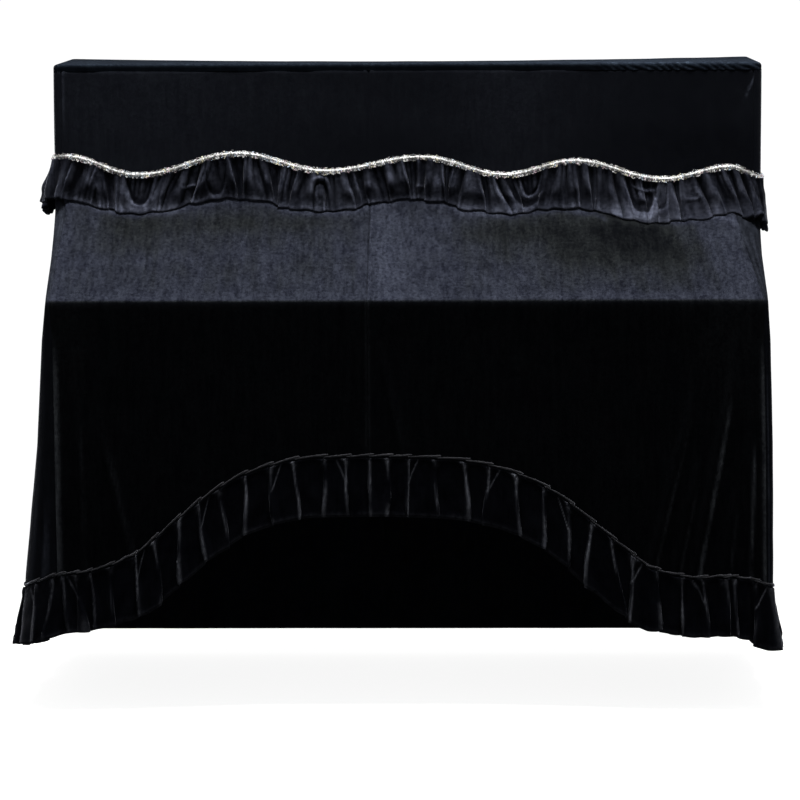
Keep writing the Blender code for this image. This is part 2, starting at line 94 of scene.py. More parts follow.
# How much lighter than the plain velvet, in red, green and blue, painted light makes the slope, the ridges
# of the skirt and the two ruffles.
SLOPE_GLOW = 9.6
RIDGE_GLOW = (19.0, 18.62, 15.2)
UPPER_GLOW = (21.0, 21.0, 19.5)
LOWER_GLOW = (27.0, 26.0, 20.5)


def named(kind, rows):
    """A table whose rows have named columns."""
    return tuple(kind(*row) for row in rows)


# Heights of a line round the cover. Its place is measured along the front from the middle, to the
# right, and goes on round both corners.
Turn = namedtuple("Turn", "place height")
WAVED_SEAM = named(Turn, (
    (-1.115, -0.198), (-0.900, -0.232), (-0.725, -0.190), (-0.571, -0.230),
    (-0.360, -0.185), (-0.172, -0.223), (0.030, -0.194), (0.207, -0.232),
    (0.355, -0.203), (0.542, -0.242), (0.685, -0.216), (0.750, -0.237),
    (0.850, -0.254), (1.010, -0.220), (1.115, -0.234),
))
ARCHED_SEAM = named(Turn, (
    (-1.425, -1.148), (-1.050, -1.120), (-0.790, -1.062), (-0.733, -1.043),
    (-0.676, -1.036), (-0.624, -1.023), (-0.562, -0.994), (-0.500, -0.943),
    (-0.417, -0.877), (-0.355, -0.839), (-0.293, -0.816), (-0.231, -0.801),
    (-0.127, -0.796), (0.020, -0.797), (0.142, -0.808), (0.225, -0.831),
    (0.308, -0.874), (0.390, -0.941), (0.452, -0.994), (0.494, -1.026),
    (0.556, -1.045), (0.600, -1.050), (0.640, -1.048), (0.690, -1.051),
    (0.738, -1.067), (0.850, -1.088), (1.425, -1.150),
))

UPPER_HEM = named(Turn, (
    (-1.115, -0.300), (-0.860, -0.322), (-0.775, -0.292), (-0.740, -0.284),
    (-0.694, -0.290), (-0.652, -0.303), (-0.577, -0.315), (-0.514, -0.309),
    (-0.450, -0.293), (-0.386, -0.283), (-0.320, -0.286), (-0.285, -0.293),
    (-0.262, -0.304), (-0.185, -0.311), (-0.132, -0.308), (-0.068, -0.294),
    (0.010, -0.285), (0.085, -0.293), (0.125, -0.309), (0.220, -0.318),
    (0.292, -0.308), (0.350, -0.306), (0.408, -0.312), (0.451, -0.327),
    (0.514, -0.336), (0.600, -0.330), (0.683, -0.317), (0.735, -0.331),
    (0.800, -0.356), (0.920, -0.356), (1.115, -0.335),
))

# Front corners at several heights: how far out the corner seam and the face of the end lie, and how
# far back the bend between them reaches.
Corner = namedtuple("Corner", "height seam face bend")
LEFT_CORNER = named(Corner, (
    (0.000, 0.733, 0.748, 0.015),
    (-0.262, 0.733, 0.748, 0.015),
    (-0.310, 0.726, 0.747, 0.030),
    (-0.400, 0.733, 0.745, 0.040),
    (-0.478, 0.737, 0.743, 0.008),
    (-0.560, 0.731, 0.754, 0.035),
    (-0.780, 0.729, 0.769, 0.070),
    (-1.060, 0.727, 0.799, 0.095),
    (-1.230, 0.728, 0.810, 0.110),
))
RIGHT_CORNER = named(Corner, (
    (0.000, 0.733, 0.748, 0.015),
    (-0.262, 0.733, 0.748, 0.015),
    (-0.310, 0.692, 0.746, 0.040),
    (-0.400, 0.716, 0.744, 0.060),
    (-0.478, 0.738, 0.744, 0.008),
    (-0.560, 0.738, 0.750, 0.018),
    (-0.780, 0.743, 0.756, 0.025),
    (-1.060, 0.747, 0.758, 0.030),
    (-1.230, 0.749, 0.764, 0.050),
))

# Soft ridges in the hanging front: where each starts, a lower point that it runs through, its half
# width and its height when full.
Fold = namedtuple("Fold", "top_x top_z low_x low_z half_width height")
FRONT_FOLDS = named(Fold, (
    (-0.681, -0.560, -0.673, -1.034, 0.008, 0.006),
    (-0.648, -0.680, -0.578, -0.982, 0.010, 0.006),
    (-0.066, -0.520, -0.007, -0.792, 0.008, 0.005),
    (0.606, -0.620, 0.531, -0.931, 0.008, 0.007),
    (0.606, -0.790, 0.562, -1.015, 0.007, 0.007),
    (0.682, -0.580, 0.617, -0.931, 0.008, 0.009),
    (0.680, -0.840, 0.659, -1.036, 0.007, 0.007),
    (0.712, -0.660, 0.701, -1.036, 0.007, 0.009),
))

# Seams round the cover: the height at which distances are measured, and their length on an end.
Tier = namedtuple("Tier", "level side_run")
UPPER_TIER = Tier(-0.205, 0.382)
LOWER_TIER = Tier(-1.060, 0.690)
UPPER_END = FRONT_RUN + UPPER_TIER.side_run
LOWER_END = FRONT_RUN + LOWER_TIER.side_run

# Gathered folds of the upper ruffle on the front: where each starts at the seam and ends at the hem,
# its half width and height at the hem, and the side (-1 left, 1 right) to which it leans over.
Gather = namedtuple("Gather", "place hem half_width height sharp")
FRONT_GATHERS = named(Gather, (
    (-0.722, -0.752, 0.015, 0.016, -1),
    (-0.703, -0.737, 0.012, 0.015, -1),
    (-0.663, -0.694, 0.017, 0.015, 1),
    (-0.648, -0.642, 0.009, 0.011, 1),
    (-0.612, -0.605, 0.019, 0.015, -1),
    (-0.504, -0.545, 0.016, 0.015, 1),
    (-0.465, -0.486, 0.013, 0.013, 1),
    (-0.424, -0.444, 0.016, 0.017, -1),
    (-0.384, -0.359, 0.013, 0.014, 1),
    (-0.339, -0.338, 0.015, 0.016, -1),
    (-0.304, -0.279, 0.014, 0.015, 1),
    (-0.259, -0.272, 0.016, 0.017, -1),
    (-0.227, -0.250, 0.011, 0.012, -1),
    (-0.192, -0.189, 0.022, 0.015, 1),
    (-0.136, -0.130, 0.014, 0.016, 1),
    (-0.118, -0.100, 0.010, 0.010, 1),
    (-0.088, -0.072, 0.014, 0.015, -1),
    (-0.043, -0.020, 0.016, 0.016, -1),
    (-0.014, 0.002, 0.015, 0.017, 1),
    (0.027, 0.029, 0.010, 0.010, -1),
    (0.050, 0.048, 0.018, 0.017, -1),
    (0.072, 0.074, 0.011, 0.015, 1),
    (0.103, 0.088, 0.013, 0.013, -1),
    (0.132, 0.124, 0.018, 0.016, -1),
    (0.146, 0.158, 0.014, 0.017, 1),
    (0.180, 0.192, 0.012, 0.014, 1),
    (0.200, 0.226, 0.010, 0.012, 1),
    (0.218, 0.254, 0.012, 0.015, 1),
    (0.295, 0.280, 0.014, 0.014, -1),
    (0.322, 0.322, 0.014, 0.016, -1),
    (0.350, 0.352, 0.014, 0.016, 1),
    (0.376, 0.384, 0.013, 0.017, 1),
    (0.408, 0.408, 0.011, 0.012, -1),
    (0.430, 0.430, 0.010, 0.013, 1),
    (0.451, 0.470, 0.015, 0.014, 1),
    (0.489, 0.510, 0.013, 0.014, 1),
    (0.546, 0.532, 0.013, 0.013, -1),
    (0.555, 0.567, 0.014, 0.015, 1),
    (0.580, 0.592, 0.013, 0.016, -1),
    (0.602, 0.626, 0.015, 0.015, 1),
    (0.632, 0.666, 0.016, 0.017, 1),
    (0.668, 0.698, 0.012, 0.016, 1),
    (0.696, 0.727, 0.012, 0.017, 1),
    (0.721, 0.752, 0.011, 0.017, 1),
))

# Swags of the upper ruffle, where cloth sags sideways in a U or stands up in an arch: the middle, the
# half width, how far down (0 seam, 1 hem) the middle and the ends lie, the half thickness and height.
Swag = namedtuple("Swag", "middle half_width low high thickness height")
SWAGS = named(Swag, (
    (-0.567, 0.037, 0.86, 0.10, 0.0075, 0.011),
    (-0.462, 0.022, 0.56, 0.50, 0.0030, 0.006),
    (-0.440, 0.026, 0.93, 0.84, 0.0030, 0.005),
    (-0.405, 0.023, 0.92, 0.60, 0.0038, 0.006),
    (-0.184, 0.025, 0.14, 0.76, 0.0045, 0.009),
    (-0.192, 0.007, 0.80, 0.30, 0.0035, 0.008),
    (0.027, 0.010, 0.70, 0.66, 0.0030, 0.006),
    (0.262, 0.026, 0.66, 0.10, 0.0045, 0.009),
    (0.256, 0.038, 0.92, 0.55, 0.0045, 0.008),
    (0.496, 0.040, 0.88, 0.12, 0.0060, 0.010),
    (0.502, 0.030, 0.28, 0.18, 0.0035, 0.005),
    (0.537, 0.016, 0.78, 0.30, 0.0038, 0.008),
    (0.604, 0.016, 0.60, 0.52, 0.0040, 0.006),
))

# Patches where the painted light of the slope is lighter (above 0) or darker (below 0): the middle,
# the half sizes and how much. The long last one is a painted highlight along the edge of the keyboard.
Patch = namedtuple("Patch", "x z half_x half_z light")
SLOPE_PATCHES = named(Patch, (
    (-0.575, -0.345, 0.080, 0.040, -0.52),
    (-0.400, -0.335, 0.110, 0.024, -0.45),
    (-0.220, -0.335, 0.100, 0.020, -0.35),
    (-0.045, -0.400, 0.030, 0.120, 0.50),
    (0.010, -0.440, 0.070, 0.070, 0.30),
    (0.190, -0.350, 0.070, 0.040, -0.46),
    (0.330, -0.350, 0.100, 0.045, -0.54),
    (0.390, -0.405, 0.090, 0.040, -0.28),
    (0.480, -0.345, 0.090, 0.060, -0.68),
    (0.560, -0.385, 0.080, 0.060, -0.45),
    (0.700, -0.440, 0.022, 0.050, 0.28),
    (0.668, -0.345, 0.025, 0.035, 0.20),
    (-0.725, -0.400, 0.010, 0.120, 0.22),
    (0.000, -0.474, 2.000, 0.012, 0.35),
))

# Pleats of the lower ruffle on the front: the place at the seam, how far it drifts to the right on its
# way to the hem, its height there, and its steep side (-1 left, 1 right).
Pleat = namedtuple("Pleat", "place drift height sharp")
FRONT_PLEATS = named(Pleat, (
    (-0.723, 0.018, 0.016, -1),
    (-0.690, 0.012, 0.010, 1),
    (-0.666, 0.020, 0.013, -1),
    (-0.619, 0.004, 0.012, 1),
    (-0.572, 0.012, 0.014, -1),
    (-0.526, 0.010, 0.010, 1),
    (-0.479, 0.012, 0.017, -1),
    (-0.436, 0.016, 0.011, -1),
    (-0.389, 0.012, 0.015, 1),
    (-0.338, 0.008, 0.013, -1),
    (-0.285, 0.010, 0.014, -1),
    (-0.232, 0.004, 0.012, 1),
    (-0.172, 0.006, 0.015, -1),
    (-0.123, -0.002, 0.011, 1),
    (-0.077, 0.003, 0.014, -1),
    (-0.036, -0.004, 0.012, 1),
    (0.001, 0.002, 0.014, -1),
    (0.061, -0.003, 0.012, 1),
    (0.121, 0.003, 0.015, 1),
    (0.167, -0.004, 0.012, -1),
    (0.227, -0.002, 0.016, 1),
    (0.282, -0.006, 0.013, 1),
    (0.332, -0.003, 0.015, 1),
    (0.375, -0.008, 0.014, -1),
    (0.418, 0.020, 0.016, 1),
    (0.456, 0.004, 0.012, -1),
    (0.507, 0.003, 0.015, 1),
    (0.554, 0.010, 0.013, -1),
    (0.604, 0.006, 0.016, 1),
    (0.645, 0.010, 0.012, -1),
    (0.671, -0.002, 0.014, 1),
    (0.709, 0.002, 0.016, -1),
))


# ---- curves and surfaces -----------------------------------------------------------------------

def limit(t):
    return np.clip(t, 0.0, 1.0)


def ease(t):
    """Smooth step from 0 to 1."""
    t = limit(t)
    return t * t * (3.0 - 2.0 * t)


def bump(distance, half_width):
    """Soft rise of height 1 about a line."""
    return np.exp(-((distance / half_width) ** 2))


def ripple(a, b, seed):
    """Smooth irregular waves about one unit long, between about -1 and 1."""
    total = np.zeros(np.broadcast(a, b).shape)
    for k in range(1, 5):
        angle = seed + 2.4 * k
        across = 2.0 * pi * (a * cos(angle) + b * sin(angle)) * (0.55 + 0.23 * k)
        total += np.sin(across + 1.7 * np.sin(0.37 * across + seed * k) + 2.9 * seed * k)
    return 0.3 * total


def row_before(table, place):
    """Places and heights of a table, the row before each place, and the share of the way to the next."""
    places = np.array([row.place for row in table])
    heights = np.array([row.height for row in table])
    index = np.clip(np.searchsorted(places, place) - 1, 0, len(table) - 2)
    share = limit((place - places[index]) / (places[index + 1] - places[index]))
    return places, heights, index, share


def swing(table, place):
    """Height of a waved line: level at each row of its table and S-shaped between two rows."""
    _, heights, index, share = row_before(table, place)
    return heights[index] + (heights[index + 1] - heights[index]) * 0.5 * (1.0 - np.cos(pi * share))


def through(table, place):
    """Height of a line that runs smoothly through the rows of its table."""
    places, heights, index, share = row_before(table, place)
    slopes = np.gradient(heights, places)
    step = places[index + 1] - places[index]
    rest = 1.0 - share
    blend = heights[index] + (heights[index + 1] - heights[index]) * ease(share)
    return blend + step * share * rest * (slopes[index] * rest - slopes[index + 1] * share)


def waved_seam(run):
    return swing(WAVED_SEAM, run)


def arched_seam(run):
    return through(ARCHED_SEAM, run)


def corner_at(side, z):
    """Seam, face and bend of a front corner at any height; a negative side is the left one."""
    found = []
    for table in (LEFT_CORNER, RIGHT_CORNER):
        depth = [-row.height for row in table]
        found.append([np.interp(-z, depth, column) for column in list(zip(*table))[1:]])
    return [np.where(side < 0, left, right) for left, right in zip(*found)]


def soft_ramp(distance, softness):
    """0 before the start and the distance after it, rounded at the start."""
    return 0.5 * (np.sqrt(distance * distance + softness * softness) + distance)


def front_depth(z):
    """How far the front lies ahead of the middle of the case: flat, then the slope, then the drop."""
    run_for_drop = EDGE_REACH / (EDGE_DROP - BEND_DROP)
    on_slope = soft_ramp(-BEND_DROP - z, BEND_SOFTNESS) - soft_ramp(-EDGE_DROP - z, EDGE_SOFTNESS)
    on_slope = on_slope - soft_ramp(-BEND_DROP, BEND_SOFTNESS)
    return HALF_DEPTH + run_for_drop * on_slope + DROP_LEAN * ease((-EDGE_DROP - z) / EDGE_DROP)


def front_relief(x, z):
    """How far the folds of the hanging front stand out; along the foot they run straight down."""
    z = np.maximum(z, arched_seam(x) + 0.5 * RUFFLE_LAP)
    relief = 0.0
    for fold in FRONT_FOLDS:
        down = (fold.top_z - z) / (fold.top_z - fold.low_z)
        centre = fold.top_x + (fold.low_x - fold.top_x) * down
        relief = relief + fold.height * ease(2.0 * down) * bump(x - centre, fold.half_width)
    return relief


def side_relief(share, z):
    """How far the upright flutes of an end stand out, at a share of its way back."""
    strength = FLUTE_HEIGHT * ease((FLUTE_TOP - z) / FLUTE_FALL) * np.sin(pi * share)
    return strength * np.sin(2.0 * pi * (2.6 * share + 0.6 * share * share))


def end_point(station, z):
    """Inner face of an end; stage 0 to 1 is the front bend, 1 to 2 the straight, 2 to 3 the back."""
    side = np.where(station < 0.0, -1.0, 1.0)
    stage = np.clip(np.abs(station) - FRONT_RUN, 0.0, 3.0)
    seam, face, bend = corner_at(side, z)
    y_seam = -front_depth(z)
    back_face = HALF_WIDTH + BACK_FLARE * np.maximum(face - HALF_WIDTH, 0.0)
    turn_in = 0.5 * pi * limit(stage)
    turn_out = 0.5 * pi * limit(stage - 2.0)
    back = limit(stage - 1.0)
    x = seam + (face - seam) * np.sin(turn_in)
    x = x + (back_face - face) * ease(back)
    x = x - (back_face - HALF_WIDTH + CORNER) * (1.0 - np.cos(turn_out))
    y = y_seam + bend * (1.0 - np.cos(turn_in))
    y = y + back * (HALF_DEPTH - CORNER - y_seam - bend) + CORNER * np.sin(turn_out)
    share = 0.15 * limit(stage) + 0.85 * back
    return np.stack([side * (x + side_relief(share, z)), y, z + 0.0 * x], axis=-1)


def front_point(station, z):
    seam = corner_at(station, z)[0]
    x = station / FRONT_RUN * seam
    return np.stack([x, -front_depth(z) - front_relief(x, z), z + 0.0 * x], axis=-1)


def body(station, z):
    """Inner face of the cover; a station is the place on the front, or FRONT_RUN plus the stage."""
    station, z = np.broadcast_arrays(station, z)
    on_front = np.abs(station) <= FRONT_RUN
    return np.where(on_front[..., None], front_point(station, z), end_point(station, z))


PROBE = 0.004            # distance to the neighbouring places that give a direction


def unit(vectors):
    return vectors / np.maximum(np.linalg.norm(vectors, axis=-1, keepdims=True), 1e-12)


def rightward(station, z):
    """Short step along the cover to the right, round its corners."""
    return body(station + PROBE, z) - body(station - PROBE, z)


def outward(station, z):
    """Direction in which the cover faces."""
    upward = body(station, z + 0.5 * PROBE) - body(station, z - 0.5 * PROBE)
    return unit(np.cross(rightward(station, z), upward))


def side_lengths(side, z):
    """Lengths of the front bend, the straight and the back bend of an end."""
    seam, face, bend = (float(v) for v in corner_at(side, z))
    front = 0.5 * pi * (0.5 * ((face - seam) ** 2 + bend ** 2)) ** 0.5
    return front, float(front_depth(z)) - bend + HALF_DEPTH - CORNER, 0.5 * pi * CORNER


def stage_ruler(side, tier):
    """Stages of an end and the distances round the cover at which they lie."""
    lengths = side_lengths(side, tier.level)
    reached = np.cumsum((0.0,) + lengths)
    return np.arange(4.0), reached * tier.side_run / reached[-1]


def convert(value, tier, to_station):
    """Station of a distance round the cover, or the distance of a station."""
    past = np.maximum(np.abs(value) - FRONT_RUN, 0.0)
    result = np.clip(value, -FRONT_RUN, FRONT_RUN)
    for side in (-1.0, 1.0):
        stages, reached = stage_ruler(side, tier)
        given, wanted = (reached, stages) if to_station else (stages, reached)
        here = np.interp(past, given, wanted)
        result = result + np.where(value * side > FRONT_RUN, side * here, 0.0)
    return result


def station_at(run, tier):
    return convert(run, tier, True)


def run_at(station, tier):
    return convert(station, tier, False)


# ---- building blocks ---------------------------------------------------------------------------

def spread(start, end, step):
    """Even places from start to end, both included, about a step apart."""
    return np.linspace(start, end, max(int(round(abs(end - start) / step)), 1) + 1)


def grid_mesh(name, points):
    """Mesh of a grid of points (rows, columns, 3), with its size in metres as its UV map."""
    rows, columns = points.shape[:2]
    index = np.arange(rows * columns).reshape(rows, columns)
    corners = (index[:-1, :-1], index[:-1, 1:], index[1:, 1:], index[1:, :-1])
    faces = np.stack(corners, axis=-1).reshape(-1, 4)
    mesh = bpy.data.meshes.new(name)
    mesh.from_pydata(points.reshape(-1, 3).tolist(), [], faces.tolist())
    across = np.linalg.norm(np.diff(points, axis=1), axis=-1).mean(axis=0)
    upward = np.linalg.norm(np.diff(points, axis=0), axis=-1).mean(axis=1)
    u, v = np.meshgrid(np.append(0.0, np.cumsum(across)), np.append(0.0, np.cumsum(upward)))
    layout = np.stack([u, v], axis=-1).reshape(-1, 2)
    mesh.uv_layers.new(name="cloth").data.foreach_set("uv", layout[faces.ravel()].ravel())
    mesh.shade_smooth()
    return mesh


def add_object(name, data):
    obj = bpy.data.objects.new(name, data)
    bpy.context.scene.collection.objects.link(obj)
    return obj


def piece(name, mesh, material, slot, *nodes):
    """A piece of the cover that stands for solids."""
    obj = add_object(name, mesh)
    mesh.materials.append(material)
    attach(obj, "root")
    if nodes:
        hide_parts(*nodes)
    return obj


def cloth(name, points, material, slot, *nodes, thickness=CLOTH, brushed=None):
    """A sheet of velvet through a grid of points, thickened towards its outer side.

    Where the lightness of each point is given, it says how much lighter that point is painted than the
    plain velvet: paler pile in places, painted light and painted highlights elsewhere.
    """
    obj = piece(name, grid_mesh(name, points), material, slot, *nodes)
    if brushed is not None:
        layer = obj.data.attributes.new("brushed", "FLOAT_VECTOR", "POINT")
        layer.data.foreach_set("vector", np.broadcast_to(brushed, points.shape).ravel())
    shell = obj.modifiers.new("Cloth thickness", "SOLIDIFY")
    shell.thickness = thickness
    shell.offset = 1.0
    shell.use_even_offset = False
    return obj


# ---- materials ---------------------------------------------------------------------------------

def feed(tree, socket, value):
    """Sets a socket to a constant, or joins it to the output of another node."""
    if isinstance(value, bpy.types.NodeSocket):
        tree.links.new(value, socket)
    else:
        socket.default_value = value


def add_node(tree, kind, values, **settings):
    """A node with its settings and with values for its sockets, given by name or number."""
    node = tree.nodes.new(kind)
    for name, value in settings.items():
        setattr(node, name, value)
    for socket, value in values.items():
        feed(tree, node.inputs[socket], value)
    return node


def math_node(tree, operation, a, b):
    return add_node(tree, "ShaderNodeMath", {0: a, 1: b}, operation=operation).outputs[0]


def noise_node(tree, vector, scale, detail, roughness=0.5, distortion=0.0):
    values = {"Vector": vector, "Scale": scale, "Detail": detail, "Roughness": roughness}
    values["Distortion"] = distortion
    return add_node(tree, "ShaderNodeTexNoise", values).outputs["Fac"]


def mix_node(tree, factor, a, b):
    values = {"Factor": factor, "A": a, "B": b}
    return add_node(tree, "ShaderNodeMix", values, data_type="RGBA").outputs["Result"]


def place_in(tree):
    return tree.nodes.new("ShaderNodeTexCoord").outputs["Object"]


def attribute_in(tree, name):
    return add_node(tree, "ShaderNodeAttribute", {}, attribute_name=name)


NAP_INPUTS = (
    ("Color", "Deep", (0.002, 0.002, 0.003, 1.0)),
    ("Color", "Brushed", (0.006, 0.006, 0.009, 1.0)),
    ("Float", "Crush", 0.5),
    ("Float", "Streak", 0.5),
)
NAP_OUTPUTS = (("Color", "Color"), ("Float", "Roughness"), ("Float", "Height"))


def make_nap_group():
    """Pile of the velvet: crushed patches, combed streaks and fine tufts, with the painted light of each
    point on top.
    """
    group = bpy.data.node_groups.new("velvet_nap", "ShaderNodeTree")
    for kind, name, value in NAP_INPUTS:
        item = group.interface.new_socket(name=name, in_out="INPUT", socket_type="NodeSocket" + kind)
        item.default_value = value
    for kind, name in NAP_OUTPUTS:
        group.interface.new_socket(name=name, in_out="OUTPUT", socket_type="NodeSocket" + kind)
    given = group.nodes.new("NodeGroupInput").outputs
    place = place_in(group)

    patches = noise_node(group, place, 26.0, 3.0, 0.55, 0.8)
    mottle = noise_node(group, place, 150.0, 3.0, 0.6, 0.3)
    tufts = noise_node(group, place, 1100.0, 2.0, 0.6)
    combed = add_node(group, "ShaderNodeMapping", {"Vector": place, "Scale": (120.0, 30.0, 14.0)})
    streaks = noise_node(group, combed.outputs["Vector"], 1.0, 3.0, 0.6)

    crushed = math_node(group, "MULTIPLY", patches, given["Crush"])
    streaked = math_node(group, "MULTIPLY", streaks, given["Streak"])
    both = math_node(group, "ADD", crushed, streaked)
    total = math_node(group, "ADD", both, math_node(group, "MULTIPLY", mottle, 0.45))
    limits = {"Value": total, "From Min": 0.45, "From Max": 0.95}
    share = add_node(group, "ShaderNodeMapRange", limits, interpolation_type="SMOOTHSTEP")
    plain = mix_node(group, share.outputs["Result"], given["Deep"], given["Brushed"])

    fine = math_node(group, "MULTIPLY", mottle, 0.65)
    fine = math_node(group, "ADD", fine, math_node(group, "MULTIPLY", streaks, 0.35))
    limits = {"Value": fine, "From Min": 0.35, "From Max": 0.65, "To Min": 0.55, "To Max": 1.45}
    grain = add_node(group, "ShaderNodeMapRange", limits).outputs["Result"]
    # Painted light: each point's stored lightness, varied by the grain, lightens the colour.
    values = {0: attribute_in(group, "brushed").outputs["Vector"], "Scale": grain}
    gain = add_node(group, "ShaderNodeVectorMath", values, operation="SCALE").outputs["Vector"]
    values = {0: plain, 1: gain, 2: plain}
    lighter = add_node(group, "ShaderNodeVectorMath", values, operation="MULTIPLY_ADD")

    add_node(group, "NodeGroupOutput", {
        "Color": lighter.outputs["Vector"],
        "Roughness": math_node(group, "ADD", math_node(group, "MULTIPLY", total, 0.12), 0.72),
        "Height": math_node(group, "ADD", math_node(group, "MULTIPLY", tufts, 0.30), total),
    })
    return group


NAP_GROUP = make_nap_group()
Velvet = namedtuple("Velvet", "deep brushed crush streak sheen sheen_roughness pile")
# Copies of the one black velvet, one for each part. Their colours and sheen differ so that each part comes
# out as light or dark as it looks: painted light and shade, with the heading lightest, then the bib, and
# the skirt darkest. Each second colour is the paler pile that the nap mixes in, which painted light
# lightens further.
VELVETS = {
    "top": Velvet((0.0003, 0.0004, 0.0006), (0.0008, 0.0011, 0.0015), 0.4, 0.3, 0.01, 0.30, 0.5),
    "bib": Velvet((0.0009, 0.0010, 0.0014), (0.0014, 0.0016, 0.0021), 0.4, 0.4, 0.04, 0.28, 0.4),
    "skirt": Velvet((0.00013, 0.000145, 0.00022), (0.00026, 0.00029, 0.00039), 0.5, 0.5, 0.04, 0.26, 0.5),
    "side": Velvet((0.0004, 0.00045, 0.0006), (0.0008, 0.0009, 0.0012), 0.5, 0.5, 0.008, 0.28, 0.5),
    "back": Velvet((0.0004, 0.00045, 0.0006), (0.0008, 0.0009, 0.0012), 0.5, 0.5, 0.008, 0.28, 0.5),
    "ruffle": Velvet((0.00018, 0.0002, 0.00032), (0.00046, 0.0005, 0.00072), 0.6, 0.4, 0.02, 0.28, 0.5),
    "heading": Velvet((0.0021, 0.0021, 0.0023), (0.0064, 0.0064, 0.0070), 0.6, 0.3, 0.24, 0.32, 0.6),
}
SHEEN_TINT = (0.84, 0.87, 1.0, 1.0)
PILE_HEIGHT = 0.0012


def new_material(name):
    """A material, its node tree and the inputs of its shader."""
    material = bpy.data.materials.new(name)
    material.use_nodes = True
    tree = material.node_tree
    return material, tree, tree.nodes["Principled BSDF"].inputs


def velvet_material(key):
    name = key + "_velvet"
    if name in bpy.data.materials:
        return bpy.data.materials[name]
    velvet = VELVETS[key]
    material, tree, shader = new_material(name)
    nap = add_node(tree, "ShaderNodeGroup", {}, node_tree=NAP_GROUP)
    nap.inputs["Deep"].default_value = (*velvet.deep, 1.0)
    nap.inputs["Brushed"].default_value = (*velvet.brushed, 1.0)
    nap.inputs["Crush"].default_value = velvet.crush
    nap.inputs["Streak"].default_value = velvet.streak
    values = {"Strength": velvet.pile, "Distance": PILE_HEIGHT, "Height": nap.outputs["Height"]}
    raised = add_node(tree, "ShaderNodeBump", values)
    feed(tree, shader["Base Color"], nap.outputs["Color"])
    feed(tree, shader["Roughness"], nap.outputs["Roughness"])
    feed(tree, shader["Normal"], raised.outputs["Normal"])
    shader["Specular IOR Level"].default_value = 0.0
    shader["Sheen Weight"].default_value = velvet.sheen
    shader["Sheen Roughness"].default_value = velvet.sheen_roughness
    shader["Sheen Tint"].default_value = SHEEN_TINT
    return material


def bead_material():
    """Dark glass beads whose glitter sparkle is painted on as a glow in each bead's own tint."""
    material, tree, shader = new_material("glitter_beads")
    speck = noise_node(tree, place_in(tree), 2500.0, 1.0)
    feed(tree, shader["Roughness"], math_node(tree, "MULTIPLY", speck, 0.5))
    feed(tree, shader["Emission Color"], attribute_in(tree, "bead_glow").outputs["Color"])
    shader["Base Color"].default_value = (0.014, 0.014, 0.0135, 1.0)
    shader["Emission Strength"].default_value = 0.95
    shader["Specular IOR Level"].default_value = 0.12
    shader["Coat Weight"].default_value = 0.015
    return material


def core_material():
    material, tree, shader = new_material("glitter_core")
    glint = noise_node(tree, place_in(tree), 700.0, 2.0)
    tone = mix_node(tree, glint, (0.02, 0.02, 0.02, 1.0), (0.12, 0.12, 0.115, 1.0))
    feed(tree, shader["Base Color"], tone)
    shader["Roughness"].default_value = 0.4
    shader["Metallic"].default_value = 0.4
    return material


# ---- panels ------------------------------------------------------------------------------------

BACK_ROWS = 100
BIB_ROWS = 38
FALL_ROWS = 66           # skirt below, round and above the edge of the keyboard
EDGE_ROWS = 16
RISE_ROWS = 50


def seam_groove(station):
    """Cloth drawn in along the upright seams, a little puffed beside them."""
    depth = 0.0
    for seam in (-FRONT_RUN, CENTRE_SEAM, FRONT_RUN):
        away = station - seam
        depth = depth + 0.0012 * bump(away, 0.0025) - 0.0008 * bump(np.abs(away) - 0.006, 0.003)
    return -depth


def surface(station, z, sunk):
    """Inner face of the cover with its finest relief, moved in by sunk."""
    lift = 0.0006 * ripple(station / 0.16, z / 0.30, 1.3) + seam_groove(station) - sunk
    return body(station, z) + outward(station, z) * lift[..., None]


def waved_height(station):
    return waved_seam(run_at(station, UPPER_TIER))


def arched_height(station):
    return arched_seam(run_at(station, LOWER_TIER))


def top_height(x, y):
    return -TOP_SAG * (1.0 - (x / HALF_WIDTH) ** 2) * ease((y + HALF_DEPTH) / (2.0 * HALF_DEPTH))


